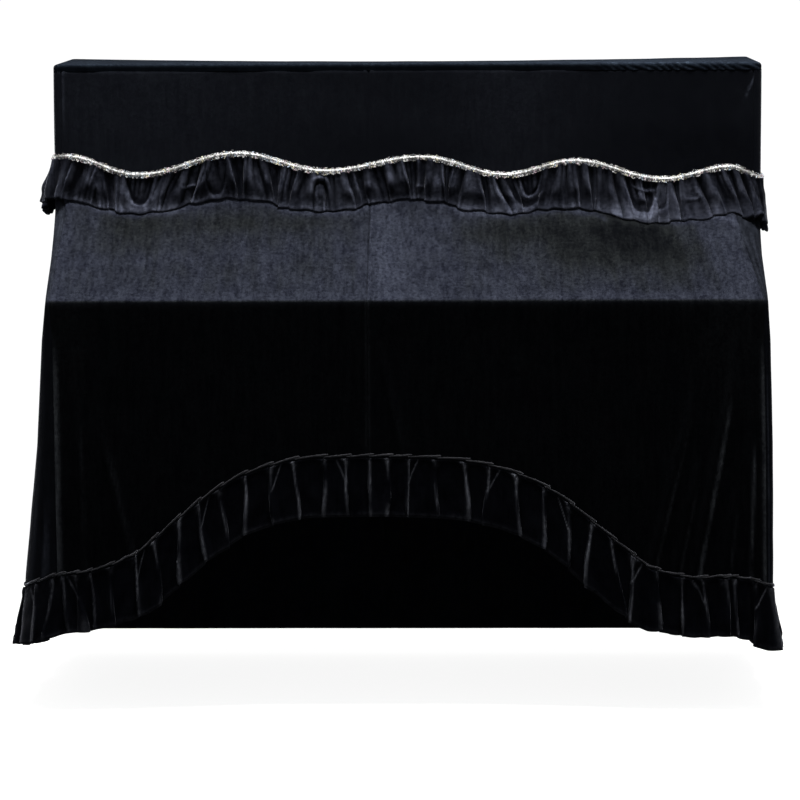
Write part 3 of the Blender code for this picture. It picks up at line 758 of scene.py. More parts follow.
def build_top():
    """Top panel: flat on the lid, rounded over its edges and turned down to the seam.

    Its grid is laid out flat, with the overhang past the lid's edges, and then bent down over them.
    """
    quarter = 0.5 * pi * TOP_FILLET
    flat = CORNER - TOP_FILLET
    reach_end = flat + quarter + TOP_LIP - TOP_FILLET
    overhang = np.append(spread(0.0, flat, 0.003)[:-1], spread(flat, reach_end, 0.0012))

    def with_overhang(inner):
        return np.concatenate([inner[0] - overhang[::-1], inner[1:-1], inner[-1] + overhang])

    smooth = spread(CORNER - HALF_WIDTH, PUCKERS_FROM, 0.012)
    puckered = spread(PUCKERS_FROM, HALF_WIDTH - CORNER, 0.004)
    deep = spread(CORNER - HALF_DEPTH, HALF_DEPTH - CORNER, 0.010)
    px, py = np.meshgrid(with_overhang(np.append(smooth, puckered[1:])), with_overhang(deep))
    over_x = np.maximum(np.abs(px) - HALF_WIDTH + CORNER, 0.0)
    over_y = np.maximum(np.abs(py) - HALF_DEPTH + CORNER, 0.0)
    reach = np.maximum(over_x, over_y)
    angle = np.clip((reach - flat) / TOP_FILLET, 0.0, 0.5 * pi)
    plan = np.minimum(reach, flat) + TOP_FILLET * np.sin(angle)
    drop = TOP_FILLET * (1.0 - np.cos(angle)) + np.maximum(reach - flat - quarter, 0.0)
    safe = np.maximum(reach, 1e-9)
    lean = np.where(over_x >= over_y, over_y / safe, 2.0 - over_x / safe)
    x = np.minimum(np.abs(px), HALF_WIDTH - CORNER) + plan * np.cos(0.25 * pi * lean) * (reach > 0)
    y = np.minimum(np.abs(py), HALF_DEPTH - CORNER) + plan * np.sin(0.25 * pi * lean) * (reach > 0)
    x, y = np.where(px > 0, x, -x), np.where(py > 0, y, -y)
    z = top_height(x, y) - drop + 0.0005 * ripple(x / 0.2, y / 0.1, 2.2) * (reach < flat)
    on_front = (y < 0.0) * (over_y >= over_x) * ease((over_y - 0.002) / 0.004)
    slant = (x - 1.9 * drop) / 0.023 + 0.3 * np.sin(2.0 * pi * x / 0.11)
    pucker = np.abs(np.cos(pi * slant)) ** 3 * on_front * ease((x - PUCKERS_FROM - 0.02) / 0.15)
    y = y - 0.0014 * pucker
    z = z + 0.0010 * pucker * (drop < 0.006)
    level = ease(1.0 - drop / 0.004)
    # Painted sheen on the flat of the top, lighter left and right of the middle, most on the right, and
    # varied a little; painted highlights on the puckers.
    light = 2.5 + 0.5 * bump(x + 0.38, 0.30) + 2.2 * bump(x - 0.45, 0.35)
    light = level * (light + 0.5 * ripple(x / 0.15, y / 0.2, 6.2)) + 4.0 * pucker
    light = np.maximum(light, 0.0)[..., None]
    points = np.stack([x, y, z], axis=-1)
    top = cloth("top_cloth", points, velvet_material("top"), "velvet_top", "top_panel", brushed=light)


def turned_in(values, inset):
    """A row of places with each end moved in a little and doubled, for the cloth turned into a seam."""
    ends = np.array([values[0] + inset, values[-1] - inset])
    return np.concatenate([ends[:1], ends[:1], values[1:-1], ends[1:], ends[1:]])


def wall(node, stations, heights, key, brushed, tucked=False):
    """Panel of the upright body, its upright edges turned into their seams.

    The heights of its rows at each station come from heights, and the function after the key says how much
    lighter each point is painted: paler pile and painted light.
    Where tucked is set, the top row lies behind the panel above.
    """
    stations = turned_in(stations, SEAM_INSET)
    z = heights(stations)
    sunk = np.zeros(z.shape)
    sunk[:, [0, -1]] = SEAM_DEPTH
    if tucked:
        sunk[-1] = 0.75 * CLOTH
    station = np.broadcast_to(stations, z.shape)
    points = surface(station, z, sunk)
    material = velvet_material(key)
    return cloth(node + "_cloth", points, material, "velvet_" + key, node, brushed=brushed(station, z))


def rows_between(low, high, shares):
    """Heights of the rows that lie at given shares of the way from a low line to a high one."""
    return low[None, :] + (high - low)[None, :] * shares[:, None]


def between_seams(start, end, step):
    """Places from one seam to the next, closer together beside both."""
    beside = np.array([0.0, 0.0018, 0.0030, 0.0045, 0.0064])
    inner = spread(start + 0.0090, end - 0.0090, step)
    return np.concatenate([start + beside, inner, end - beside[::-1]])


# Stations of the columns of each panel; past a corner they count the three stages of an end.
SPANS = {
    "front": between_seams(-FRONT_RUN, FRONT_RUN, 0.006),
    "front_left": between_seams(-FRONT_RUN, CENTRE_SEAM, 0.0052),
    "front_right": between_seams(CENTRE_SEAM, FRONT_RUN, 0.0052),
    "right": FRONT_RUN + np.concatenate([
        np.linspace(0.0, 1.0, 17)[:-1], np.linspace(1.0, 2.0, 73)[:-1], np.linspace(2.0, 3.0, 9)
    ]),
}
SPANS["left"] = -SPANS["right"][::-1]


def build_bib():
    """Plain band from the top's seam to the waved one, with a painted crease highlight at each front
    corner.
    """
    shares = np.append(np.linspace(0.0, 1.0, BIB_ROWS), 1.0)

    def heights(stations):
        corner = body(stations, 0.0 * stations)
        high = top_height(corner[:, 0], corner[:, 1]) - TOP_LIP
        z = rows_between(waved_height(stations), high, shares)
        z[-1] += 0.003
        return z

    def pile(station, z):
        # Lighter and darker areas across the bib, darker lower down, and painted highlights where a crease
        # would run at each front corner; no crease is shaped.
        light = 0.35 * bump(station + 0.55, 0.30) - 0.20 * bump(station - 0.64, 0.20)
        light = light + 0.35 * bump(station - 0.22, 0.12) - 0.20 * ease((-z - 0.10) / 0.08)
        crease = station - 0.739 - 0.40 * (z + 0.014)
        right_crease_highlight = bump(crease, 0.0018) * ease((-z - 0.012) / 0.02) * ease((z + 0.085) / 0.04)
        left_crease_highlight = bump(station + 0.728, 0.0016) * ease((z + 0.15) / 0.08)
        return (light + 6.0 * right_crease_highlight + 1.5 * left_crease_highlight)[..., None]

    for span, flat in (("front", (1.47, 0.21)), ("left", (0.39, 0.22)), ("right", (0.39, 0.24))):
        bib = wall("bib_" + span, SPANS[span], heights, "bib", pile, tucked=True)


def build_back():
    """Plain back that hangs straight from the top's seam."""
    x = spread(FRONT_RUN, -FRONT_RUN, 0.012)
    high = top_height(x, np.full_like(x, HALF_DEPTH)) - TOP_LIP
    z = rows_between(np.full_like(x, BACK_HEM), high, np.linspace(0.0, 1.0, BACK_ROWS))
    wave = 0.0015 * ripple(x / 0.22, z / 0.9, 0.7) * ease(-z / 0.4)
    y = HALF_DEPTH + wave * ease((FRONT_RUN - np.abs(x)) / 0.05)
    points = np.stack([x + 0.0 * z, y, z], axis=-1)
    back = cloth("back_cloth", points, velvet_material("back"), "velvet_back", "back_panel")


def skirt_heights(stations):
    """Rows of the skirt from its foot to the waved seam, closest at the edge of the keyboard."""
    low = arched_height(stations) - RUFFLE_LAP
    high = waved_height(stations)
    level = np.full_like(low, -EDGE_DROP)
    edge = 3.0 * EDGE_SOFTNESS
    fall = rows_between(low, level - edge, np.linspace(0.0, 1.0, FALL_ROWS))[:-1]
    over = rows_between(level - edge, level + edge, np.linspace(0.0, 1.0, EDGE_ROWS))
    rise = rows_between(level + edge, high, np.linspace(0.0, 1.0, RISE_ROWS))[1:]
    return np.concatenate([fall, over, rise])


def skirt_nap_and_painted_light(station, z):
    """How much lighter the skirt is painted: painted light on the slope, which faces up, patchy and
    mottled like the pile, and smooth below its edge.

    Below the edge only painted light on the ridges of the folds, the ends and the seams lightens it.
    """
    x = station
    slope = ease((z + EDGE_DROP + 0.002) / 0.006)
    light = 1.0 + 0.12 * ripple(x / 0.10, z / 0.07, 3.1) + 0.10 * ripple(x / 0.035, z / 0.30, 5.7)
    for patch in SLOPE_PATCHES:
        light = light + patch.light * bump(x - patch.x, patch.half_x) * bump(z - patch.z, patch.half_z)
    # Painted light just under the upper ruffle's hem, to lift the shade that the ruffle casts on the
    # slope.
    painted_light_under_hem = bump(swing(UPPER_HEM, x) - 0.002 - z, 0.006)
    light = np.maximum(light, 0.15) * slope * (1.0 + painted_light_under_hem)
    drop = 1.0 - slope
    # Painted light on the drop towards both ends, fading out low down.
    ends = bump(x + 0.70, 0.09) + 1.3 * bump(x - 0.68, 0.14)
    light = light + 0.10 * ends * drop * ease((z + 0.90) / 0.35)
    # The painted light turns bluer where it is stronger, like the velvet's sheen.
    blue = np.clip(0.50 + 0.50 * light, 0.74, 1.03)
    # A darker line on the centre seam, and a painted highlight on the cloth beside it, on the slope only.
    beside = x - CENTRE_SEAM
    seam_line_and_highlight = 0.45 * bump(beside - 0.004, 0.0025) - 0.55 * bump(beside, 0.0022)
    light = np.maximum(light + slope * seam_line_and_highlight, 0.05)
    # Painted highlights on the drop: on the ridges of its folds, along each front corner and beside the
    # centre seam.
    ridge_highlight = limit(front_relief(x, z) / 0.008) ** 6
    ridge_highlight = ridge_highlight * np.clip(0.7 + 0.6 * ripple(x / 0.05, z / 0.16, 2.4), 0.05, 1.4)
    corner = bump(np.abs(x) - FRONT_RUN + 0.004, np.where(x < 0.0, 0.0058, 0.0035))
    ridge_highlight = ridge_highlight + 0.9 * corner * ease((-z - EDGE_DROP - 0.05) / 0.15)
    ridge_highlight = drop * (ridge_highlight + 0.12 * bump(np.abs(beside) - 0.0035, 0.002))
    slope_light = SLOPE_GLOW * np.stack([light, light, light * blue], axis=-1)
    return slope_light + ridge_highlight[..., None] * np.array(RIDGE_GLOW)


def side_painted_light(station, z):
    """Painted light on the ends: lighter beside the slope, striped like narrow folds that fan out on the
    right end, and painted highlights on a few ridges.
    """
    stage = np.abs(station) - FRONT_RUN
    slope = ease((z + EDGE_DROP + 0.002) / 0.006) * ease((-BEND_DROP - z + 0.03) / 0.02)
    fan = 0.8 + 0.35 * np.sin(2.0 * pi * (4.0 * stage + 9.0 * (z + EDGE_DROP)))
    light = np.where(station < 0.0, 3.0, 2.0 * fan) * slope * ease((1.15 - stage) / 0.3)
    # Painted highlights on ridges lower down: two on the left end and one on the right.
    left = 3.6 * bump(stage - 0.22, 0.045) * ease((-z - 0.88) / 0.12)
    left = left + 3.0 * bump(stage - 0.54, 0.030) * ease((-z - 0.70) / 0.25)
    right = 2.6 * bump(stage - 0.20, 0.05) * ease((-z - 0.55) / 0.2)
    return (light + np.where(station < 0.0, left, right))[..., None]


def build_skirt():
    for span, flat, area in (("front_left", (0.66, 1.08), 0.58), ("front_right", (0.82, 1.10), 0.74)):
        skirt = wall("skirt_" + span, SPANS[span], skirt_heights, "skirt", skirt_nap_and_painted_light)
    for span in ("left", "right"):
        end = wall("side_" + span, SPANS[span], skirt_heights, "side", side_painted_light)


# ---- ruffles -----------------------------------------------------------------------------------

def round_ends(first, last, pace, gap, sway):
    """Uneven places on both ends, from first to last: side, run, turning angle and count of each."""
    for side in (-1, 1):
        run, count = first, 0
        while run < last:
            turn = pace * count + side
            yield side, run, turn, count
            run += gap + sway * sin(1.3 * turn)
            count += 1


def side_gathers():
    """Folds of the upper ruffle round the ends, about as close as on the front."""
    for side, run, turn, count in round_ends(FRONT_RUN + 0.020, UPPER_END - 0.012, 1.9, 0.030, 0.005):
        hem = side * (run + 0.012 * sin(turn))
        height = 0.015 if side < 0 else 0.009
        yield Gather(side * run, hem, 0.014 + 0.003 * cos(2.3 * turn), height, -1 if count % 3 == 1 else 1)


def side_pleats():
    """Pleats of the lower ruffle round the ends, about as far apart as on the front."""
    for side, run, turn, count in round_ends(FRONT_RUN + 0.012, LOWER_END - 0.020, 2.1, 0.046, 0.008):
        height = 0.013 + 0.003 * cos(1.7 * turn)
        yield Pleat(side * run, 0.006 * sin(turn), height, -side if count % 3 else side)


GATHERS = sorted([*FRONT_GATHERS, *side_gathers()])
PLEATS = sorted([*FRONT_PLEATS, *side_pleats()])


def highest(lifts, leans):
    """Joins folds as the highest one at each place, with a soft crease where two meet."""
    powers = [lift ** 5 for lift in lifts]
    total = sum(powers) + 1e-20
    lift = total ** 0.2
    lean = sum(power * lean for power, lean in zip(powers, leans)) / total
    return lift, lean * lift


def gathered_folds(run, along, row):
    """Rounded folds that grow towards the hem: their lift and lean, and the painted glints on their
    crests.
    """
    start = 0.45 - 0.30 * ease((np.abs(run) - FRONT_RUN + 0.01) / 0.02)
    lifts, leans = [], []
    crests = 0.0
    for index, fold in enumerate(GATHERS):
        away = (along - fold.place) * fold.sharp
        half = fold.half_width * (0.82 + 0.20 * ease(row)) * np.where(away > 0.0, 0.72, 1.20)
        grown = start + (1.0 - start) * ease(row / 0.7)
        lifts.append(fold.height * grown * np.maximum(1.0 - (away / half) ** 2, 0.0))
        leans.append(0.40 * fold.sharp)
        shine = np.clip(0.35 + 0.9 * np.sin(1.9 * index + 3.6 * row), 0.0, 1.1)
        crests = crests + shine * bump(away - 0.45 * half, 0.0014)
    lift, lean = highest(lifts, leans)
    return lift, lean, crests


def add_swags(run, row, lift):
    """A lift with the swags on top, and how deep each place lies in the hollow of a swag."""
    hollow = 0.0
    for swag in SWAGS:
        aside = np.abs(run - swag.middle) / swag.half_width
        fall = swag.low - swag.high
        below = UPPER_RUFFLE_LENGTH * (row - swag.low + fall * aside ** SWAG_BOW)
        steep = SWAG_BOW * fall * aside ** (SWAG_BOW - 1.0) * UPPER_RUFFLE_LENGTH / swag.half_width
        away = below / np.sqrt(1.0 + steep * steep)
        within = ease(1.25 - aside) * ease((1.15 - aside) / 0.15)
        fold = swag.height * bump(away, swag.thickness) * within
        lift = lift + fold * (1.0 - 0.5 * lift / 0.015)
        inside = -np.sign(fall) * away / swag.thickness
        deep = ease(np.abs(fall) / 0.4) * ease((inside - 0.8) / 0.8) * ease((1.0 - aside) / 0.2)
        deep = deep * ease((0.8 * swag.half_width - np.abs(away)) / 0.008)
        hollow = np.maximum(hollow, deep * ease(row / 0.12))
    return lift, hollow


def gather_relief(run, row):
    """Upper ruffle: how far it stands out, how far it leans over and how much painted light it gets.

    A row is 0 at the seam and 1 at the hem. Rounded folds run to the hem, with swags and narrow folds
    on them. On the front the hem lies down on the slope of the skirt.
    """
    drift = np.interp(run, [fold.place for fold in GATHERS], [fold.hem - fold.place for fold in GATHERS])
    along = run - drift * row + 0.002 * ripple(run / 0.09, row * 0.8, 2.6) * row
    broad, lean, crests = gathered_folds(run, along, row)
    lift, hollow = add_swags(run, row, broad)
    swagged = np.maximum(lift - broad, 0.0)
    narrow = np.abs(np.cos(pi * (along / 0.0145 + 0.45 * np.sin(2.0 * pi * along / 0.083))))
    narrow = narrow * np.clip(0.75 + 0.5 * ripple(along / 0.05, row * 0.9, 5.1), 0.1, 1.3)
    narrow = narrow * (1.0 - 0.75 * hollow)

    settled = ease((FRONT_RUN + 0.004 - np.abs(run)) / 0.03) * ease((row - 0.50) / 0.50)
    calm = 1.0 - 0.75 * settled
    lift = 0.85 * lift * (1.0 - 0.45 * hollow) * (1.0 - 0.93 * settled)
    lift = lift + 0.0042 * narrow * (0.55 + 0.45 * ease(1.3 - row)) * calm
    lift = lift + 0.0010 * ripple(run / 0.030, row * 1.7, 0.9) * ease(row / 0.3) * calm

    # Painted light: lighter on the broad and the narrow folds, painted shade in the hollows of the swags,
    # painted glints on the crests and a painted highlight along the hem's edge.
    light = (0.36 + 0.64 * ease(broad / 0.012)) * (0.26 + 0.74 * narrow ** 2)
    light = light * (1.0 - 0.65 * hollow) + ease(swagged / 0.006)
    light = light * np.clip(0.75 + 0.40 * ripple(run / 0.05, row * 0.9, 8.3), 0.15, 1.4)
    edge = ease((row - 1.0) * UPPER_RUFFLE_LENGTH / 0.0035 + 1.0)
    light = light + 0.60 * crests * (1.0 - 0.8 * hollow)
    light = light + 0.5 * edge * limit(ripple(run / 0.07, 0.0 * row, 3.3))
    return lift, lean * ease(row), light


def pleat_relief(run, row):
    """Lower ruffle: the same for knife pleats between wide flat stretches, pinched at the seam."""
    lifts, leans = [], []
    light = 0.0
    for index, pleat in enumerate(PLEATS):
        bend = 0.004 * np.sin(3.4 * row + 1.9 * index) * row
        away = (run - pleat.place - pleat.drift * row - bend) * pleat.sharp
        half = np.where(away > 0.0, 0.0035 + 0.0020 * row, 0.007 + 0.010 * row)
        profile = np.maximum(1.0 - np.abs(away) / half, 0.0) ** 1.4
        lifts.append(pleat.height * (0.25 + 0.75 * ease(row / 0.9)) * profile)
        leans.append(0.50 * pleat.sharp)
        # Painted highlights: a line along each pleat, wider and brighter near the seam, and beside every
        # third pleat a short one near the seam.
        wedge = np.exp(-row / (0.07 + 0.10 * sin(1.9 * index) ** 2))
        shine = 0.55 + 0.50 * sin(2.7 * index) + 0.55 * np.sin(6.0 * row + 1.3 * index) + 1.1 * wedge
        shine = shine * (1.0 - 0.62 * ease((abs(pleat.place) - 0.50) / 0.15))
        beyond = 0.0009 + 0.0008 * row * sin(0.7 * index) ** 2
        behind = 0.0009 + 0.0085 * wedge * sin(1.3 * index) ** 2 + 0.0026 * row * sin(1.1 * index) ** 4
        line = bump(away + 0.0015, np.where(away > -0.0015, beyond, behind))
        light = light + np.clip(shine, 0.0, 1.7) * line
        if index % 3 == 1:
            aside = run - pleat.place + pleat.sharp * 0.024 * (1.0 - row / 0.42) - pleat.drift * row
            light = light + 0.9 * bump(aside, 0.0011) * ease(row / 0.05) * ease((0.46 - row) / 0.1)
    lift, lean = highest(lifts, leans)
    # Each pleat is pinched just below the seam: raised there, with a painted highlight.
    knot = sum(bump(run - pleat.place, 0.005) for pleat in PLEATS) * bump(row - 0.07, 0.06)
    slack = 0.0022 * row * ripple(run / 0.05, row, 4.2)
    return lift + 0.0020 * knot + slack, lean * ease(row), light + 0.15 * knot


def past_corners(run, lap):
    """Eased from 0 to 1 past the left corner, and past the right one."""
    return [ease((side * run - FRONT_RUN + lap) / 0.05) for side in (-1.0, 1.0)]


def upper_flare(run):
    """The upper ruffle stands off the ends of the cover, more on the left."""
    left, right = past_corners(run, 0.008)
    return 0.020 * left + 0.005 * right


def lower_flare(run):
    left, right = past_corners(run, 0.030)
    return 0.004 + 0.013 * left + 0.008 * right


def upper_length(run):
    return waved_seam(run) - TRIM_TUCK - swing(UPPER_HEM, run) + 0.0015 * np.sin(2.0 * pi * run / 0.041)


def lower_length(run):
    climb = (arched_seam(run + 0.01) - arched_seam(run - 0.01)) / 0.02
    longer = 1.0 + 0.07 * ease((run - 0.66) / 0.08)
    return LOWER_RUFFLE_LENGTH * longer * np.sqrt(1.0 + LOWER_RUFFLE_BIAS * climb * climb)


Ruffle = namedtuple("Ruffle", "tier seam tuck length relief flare glow")
UPPER = Ruffle(UPPER_TIER, waved_seam, TRIM_TUCK, upper_length, gather_relief, upper_flare, UPPER_GLOW)
LOWER = Ruffle(LOWER_TIER, arched_seam, HEADING_TUCK, lower_length, pleat_relief, lower_flare, LOWER_GLOW)
RUFFLES = (
    ("upper_front", UPPER, -FRONT_RUN, FRONT_RUN, (1.90, 0.10)),
    ("upper_left", UPPER, -UPPER_END, -FRONT_RUN, (0.48, 0.10)),
    ("upper_right", UPPER, FRONT_RUN, UPPER_END, (0.48, 0.10)),
    ("lower_front_left", LOWER, -FRONT_RUN, CENTRE_SEAM, (0.95, 0.14)),
    ("lower_front_right", LOWER, CENTRE_SEAM, FRONT_RUN, (1.15, 0.14)),
    ("lower_left", LOWER, -LOWER_END, -FRONT_RUN, (0.90, 0.14)),
    ("lower_right", LOWER, FRONT_RUN, LOWER_END, (0.90, 0.14)),
)


def ruffle_points(kind, start, end):
    """Points of a ruffle hung from its seam, its hem and its ends turned in, and how much painted light
    each gets, a little more along the hem.
    """
    run = turned_in(spread(start, end, RUFFLE_STEP), RUFFLE_INSET)
    turned_up = [1.0 - HEM_TURN / UPPER_RUFFLE_LENGTH, 0.995]
    row = np.concatenate([turned_up, np.linspace(1.0, 0.0, RUFFLE_ROWS)])
    run, row = np.broadcast_arrays(run[None, :], row[:, None])
    lift, lean, light = kind.relief(run, row)
    top = kind.seam(run) - kind.tuck
    z = top - kind.length(run) * row + 0.12 * row * lift
    station = station_at(run, kind.tier)
    foot = body(station, z)
    foot[..., 0] = body(station, top)[..., 0]
    hem = ease((row - 1.0) * kind.length(run) / HEM_TURN + 1.2)
    raised = CLOTH + RUFFLE_GAP + lift + kind.flare(run) * row + HEM_LIFT * hem
    raised[:2] -= RUFFLE_CLOTH + HEM_GAP
    raised[:, [0, -1]] -= RUFFLE_DEPTH
    sideways = unit(rightward(station, z))
    points = foot + outward(station, z) * raised[..., None] + sideways * lean[..., None]
    return points, np.array(kind.glow) * (light + 0.10 * hem)[..., None]


def build_ruffles():
    material = velvet_material("ruffle")
    for span, kind, start, end, flat in RUFFLES:
        node = "ruffle_" + span
        points, light = ruffle_points(kind, start, end)
        ruffle = cloth(
            node + "_cloth", points, material, "velvet_ruffle", node,
            thickness=RUFFLE_CLOTH, brushed=light,
        )


# ---- cord, beads and heading -------------------------------------------------------------------

CORD_LIFT = 0.0009
CORE_INSET = 0.0012
CORE_STEP = 0.004

BEAD_SEED = 7
BEAD_STEP = 0.0023       # from one ring of beads to the next
BEADS_A_RING = 8
RINGS_A_CLUMP = 2
BEAD_ARC = 2.0           # half the angle that a ring of beads covers
BEAD_HALF_LONG = (0.0016, 0.0032)
BEAD_HALF_THICK = (0.0008, 0.0011)
# Levels of the painted glow of each clump of beads and of each bead, which stands in for the glitter's
# sparkle, and the tints that the glow comes in.
CLUMP_GLOWS = (0.22, 0.6, 1.0, 1.4)
BEAD_GLOWS = (0.18, 0.90)
BEAD_TINTS = (
    (0.95, 0.95, 0.92),
    (0.90, 0.91, 0.95),
    (0.97, 0.90, 0.62),
    (0.62, 0.78, 0.95),
    (0.95, 0.72, 0.80),
    (0.98, 0.98, 0.96),
    (0.98, 0.97, 0.93),
)
BEAD_FACES = ((0, 1, 2), (0, 2, 3), (0, 3, 4), (0, 4, 1), (5, 2, 1), (5, 3, 2), (5, 4, 3), (5, 1, 4))

HEADING_STEP = 0.003
HEADING_LAP = 0.010
HEADING_SIDES = 10
HEADING_RISE = 0.0052    # how much higher each stretch of the heading ends than it starts
HEADING_HIGH = 0.0022    # half the height and half the depth of the roll
HEADING_DEEP = 0.0019


def seam_frames(seam, tier, run, reach):
    """Centres, outward and upward directions and tangents of a line laid on a seam."""
    station = station_at(run, tier)
    z = seam(run)
    out = outward(station, z)
    centre = body(station, z) + out * reach
    tangent = unit(np.gradient(centre, axis=0))
    return centre, out, np.cross(out, tangent), tangent


def trim_frames(step):
    """Frames along the cord, which lies close to the cloth, closest at the corners."""
    run = spread(-UPPER_END, UPPER_END, step)
    past = np.abs(run) - FRONT_RUN
    closer = 0.75 * ease((past + 0.02) / 0.03) + 0.6 * bump(past - 0.012, 0.018)
    reach = CLOTH + CORD_LIFT + TRIM_RADIUS * (0.75 - closer)
    centre, out, up, tangent = seam_frames(waved_seam, UPPER_TIER, run, reach[:, None])
    return centre - up * TRIM_DROP, out, up, tangent


def build_trim():
    """Glitter cord: a round core wound with small beads."""
    centre, out, up, _ = trim_frames(CORE_STEP)
    turn = np.linspace(0.0, 2.0 * pi, 13)[:, None, None]
    core = centre + (TRIM_RADIUS - CORE_INSET) * (np.cos(turn) * out + np.sin(turn) * up)
    mesh = grid_mesh("glitter_cord", core[::-1])
    piece("glitter_cord", mesh, core_material(), "glitter_silver", "trim_cord")
    build_beads()


def build_beads():
    """Small long beads wound round the cord, tilted a little every way."""
    rng = np.random.default_rng(BEAD_SEED)
    centre, out, up, tangent = trim_frames(BEAD_STEP)
    rings = len(centre)
    clump = np.repeat(np.arange(rings) // RINGS_A_CLUMP, BEADS_A_RING)
    clumps = clump[-1] + 1
    clump_reach = rng.normal(0.0009, 0.0009, clumps)[clump]
    clump_glow = rng.choice(CLUMP_GLOWS, clumps)[clump]
    clump_tint = rng.integers(0, len(BEAD_TINTS), clumps)[clump]
    around = np.linspace(-BEAD_ARC, BEAD_ARC, BEADS_A_RING)[None, :]
    angles = around + rng.normal(0.0, 0.25, (rings, BEADS_A_RING))
    grid = angles.shape

    cosine, sine = np.cos(angles)[..., None], np.sin(angles)[..., None]
    radial = cosine * out[:, None] + sine * up[:, None]
    hoop = -sine * out[:, None] + cosine * up[:, None]
    hoop = hoop + tangent[:, None] * rng.normal(0.0, 0.45, grid)[..., None]
    hoop = unit(hoop + radial * rng.normal(0.0, 0.35, grid)[..., None])
    along = unit(np.cross(radial, hoop))
    radial = np.cross(hoop, along)
    place = centre[:, None] + along * rng.normal(0.0, 0.0004, grid)[..., None]
    reach = TRIM_RADIUS + 0.0002 + clump_reach.reshape(grid) + rng.normal(0.0, 0.0005, grid)
    place = place + radial * reach[..., None]
    half_long = rng.uniform(*BEAD_HALF_LONG, grid)[..., None]
    half_thick = 0.72 * rng.uniform(*BEAD_HALF_THICK, grid)[..., None]
    tips = (
        place + hoop * half_long,
        place + (along + radial) * half_thick,
        place + (-along + radial) * half_thick,
        place + (-along - radial) * half_thick,
        place + (along - radial) * half_thick,
        place - hoop * half_long,
    )
    count = angles.size
    points = np.stack(tips, axis=2).reshape(-1, 3)
    faces = np.arange(count)[:, None, None] * len(tips) + np.array(BEAD_FACES)
    mesh = bpy.data.meshes.new("glitter_beads")
    mesh.from_pydata(points.tolist(), [], faces.reshape(-1, 3).tolist())

    # Each bead's painted glow: a tint shared with its clump or its own, darker or lighter by clump and by
    # bead.
    single = rng.integers(0, len(BEAD_TINTS), count)
    tints = np.array(BEAD_TINTS)[np.where(rng.random(count) < 0.5, clump_tint, single)]
    tints = tints * rng.uniform(*BEAD_GLOWS, (count, 1)) * clump_glow[:, None]
    colours = np.concatenate([tints, np.ones((count, 1))], axis=1)
    attribute = mesh.color_attributes.new("bead_glow", "FLOAT_COLOR", "POINT")
    attribute.data.foreach_set("color", np.repeat(colours, len(tips), axis=0).ravel())
    piece("glitter_beads", mesh, bead_material(), "glitter_silver")


def roll_faces(first, rings, sides):
    """Faces of a capped tube whose points start at number first, ring after ring."""
    faces = []
    for ring in range(rings - 1):
        for side in range(sides):
            a = first + ring * sides + side
            b = first + ring * sides + (side + 1) % sides
            faces.append((a, a + sides, b + sides, b))
    last = first + (rings - 1) * sides
    faces.append(tuple(range(first, first + sides)))
    faces.append(tuple(reversed(range(last, last + sides))))
    return faces


def build_heading():
    """Rolled upper edge of the lower ruffle, lapped at each pleat."""
    places = [-LOWER_END] + [pleat.place for pleat in PLEATS] + [LOWER_END]
    turn = np.linspace(0.0, 2.0 * pi, HEADING_SIDES, endpoint=False)[None, :, None]
    vertices, faces = [], []
    for index, (start, end) in enumerate(zip(places, places[1:])):
        run = spread(start, end + min(HEADING_LAP, LOWER_END - end), HEADING_STEP)
        centre, out, up, _ = seam_frames(arched_seam, LOWER_TIER, run, CLOTH + CORD_LIFT)
        share = np.linspace(0.0, 1.0, len(run))
        round_end = ease((np.abs(run) - FRONT_RUN + 0.01) / 0.03)
        lift = (0.0030 + 0.0034 * ease((share - 0.55) / 0.35)) * (1.0 - 0.6 * round_end)
        middle = centre + out * lift[:, None] + up * (HEADING_RISE * (share - 0.5))[:, None]
        pinch = (0.55 + 0.45 * share) * (0.35 + 0.65 * ease((1.0 - share) / 0.05))
        pinch = pinch * (0.4 + 0.6 * ease(share / 0.15))
        wrinkle = 1.0 + 0.08 * np.sin(2.0 * pi * run / 0.0075 + index)
        forward = np.cos(turn) * (HEADING_DEEP * pinch)[:, None, None] * out[:, None]
        upward = np.sin(turn) * (HEADING_HIGH * pinch * wrinkle)[:, None, None] * up[:, None]
        faces.extend(roll_faces(len(vertices), len(run), HEADING_SIDES))
        vertices.extend((middle[:, None] + forward + upward).reshape(-1, 3).tolist())
    mesh = bpy.data.meshes.new("ruffle_heading")
    mesh.from_pydata(vertices, [], faces)
    mesh.shade_smooth()
    piece("ruffle_heading", mesh, velvet_material("heading"), "velvet_heading", "heading_cord")


# ---- room and camera ---------------------------------------------------------------------------

FLOOR_LEVEL = -1.335
FLOOR_HALF = 12.0
WHITE = (1.0, 1.0, 1.0, 1.0)

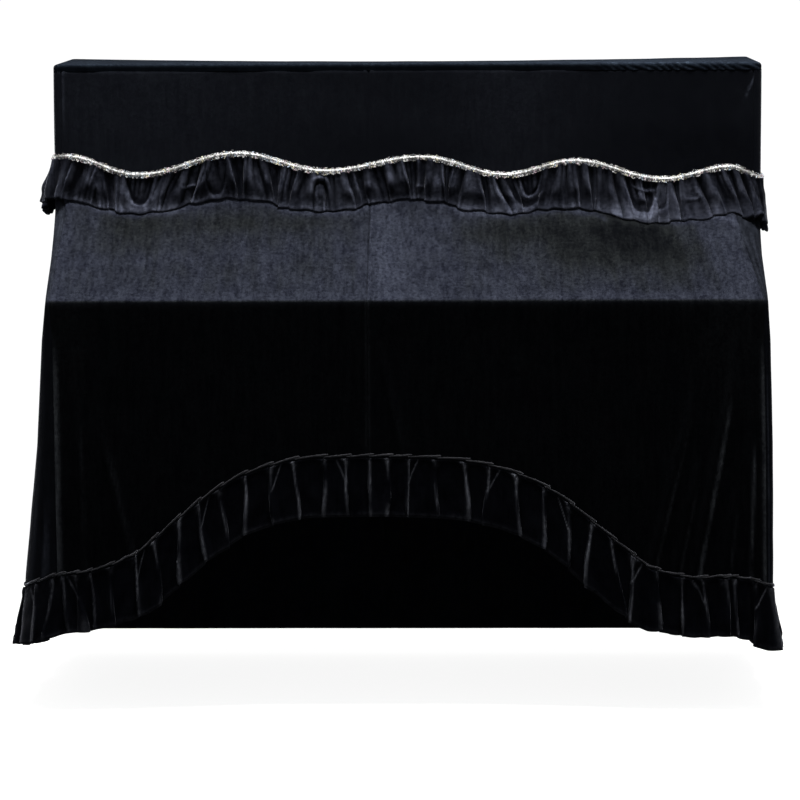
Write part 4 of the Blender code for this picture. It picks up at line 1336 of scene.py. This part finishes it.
Lamp = namedtuple("Lamp", "name location target width height energy beam")
LAMPS = (
    Lamp("overhead", (0.0, -0.65, 2.1), (0.0, -0.3, -0.3), 3.0, 0.9, 165.0, 40.0),
    Lamp("left_soft", (-3.2, -0.9, 0.2), (0.0, -0.3, -0.6), 0.8, 2.4, 12.0, 180.0),
    Lamp("right_soft", (3.2, -0.9, 0.2), (0.0, -0.3, -0.6), 0.8, 2.4, 12.0, 180.0),
)

CAMERA_LENS = 167.53
CAMERA_PLACE = (0.1167, -8.0789, 0.2833)
CAMERA_TURN = (82.7942, 0.2383, 0.9416)   # degrees about X, Y and Z


def build_floor():
    """Pale floor that gives off a little light, so that shadows on it stay faint."""
    mesh = bpy.data.meshes.new("floor")
    signs = ((-1.0, -1.0), (1.0, -1.0), (1.0, 1.0), (-1.0, 1.0))
    corners = [(FLOOR_HALF * x, FLOOR_HALF * y, FLOOR_LEVEL) for x, y in signs]
    mesh.from_pydata(corners, [], [(0, 1, 2, 3)])
    material, _, shader = new_material("floor_paint")
    shader["Base Color"].default_value = (0.10, 0.10, 0.10, 1.0)
    shader["Roughness"].default_value = 0.9
    shader["Emission Color"].default_value = WHITE
    shader["Emission Strength"].default_value = 0.90
    mesh.materials.append(material)
    add_object("floor", mesh)


def build_light():
    world = bpy.data.worlds.new("studio")
    bpy.context.scene.world = world
    world.use_nodes = True
    background = world.node_tree.nodes["Background"].inputs
    background["Color"].default_value = WHITE
    background["Strength"].default_value = 1.05
    for lamp in LAMPS:
        light = bpy.data.lights.new(lamp.name, "AREA")
        light.shape = "RECTANGLE"
        light.size, light.size_y = lamp.width, lamp.height
        light.energy = lamp.energy
        light.spread = radians(lamp.beam)
        obj = add_object(lamp.name, light)
        obj.location = lamp.location
        aim = np.array(lamp.target) - np.array(lamp.location)
        obj.rotation_euler = Vector(aim).to_track_quat("-Z", "Y").to_euler()


def build_camera():
    camera = bpy.data.cameras.new("camera")
    camera.sensor_width = 36.0
    camera.lens = CAMERA_LENS
    obj = add_object("camera", camera)
    obj.location = CAMERA_PLACE
    obj.rotation_euler = [radians(angle) for angle in CAMERA_TURN]
    bpy.context.scene.camera = obj


bpy.context.scene.view_settings.view_transform = "Standard"
build_camera()
build_top()
build_bib()
build_back()
build_skirt()
build_ruffles()
build_trim()
build_heading()
build_floor()
build_light()
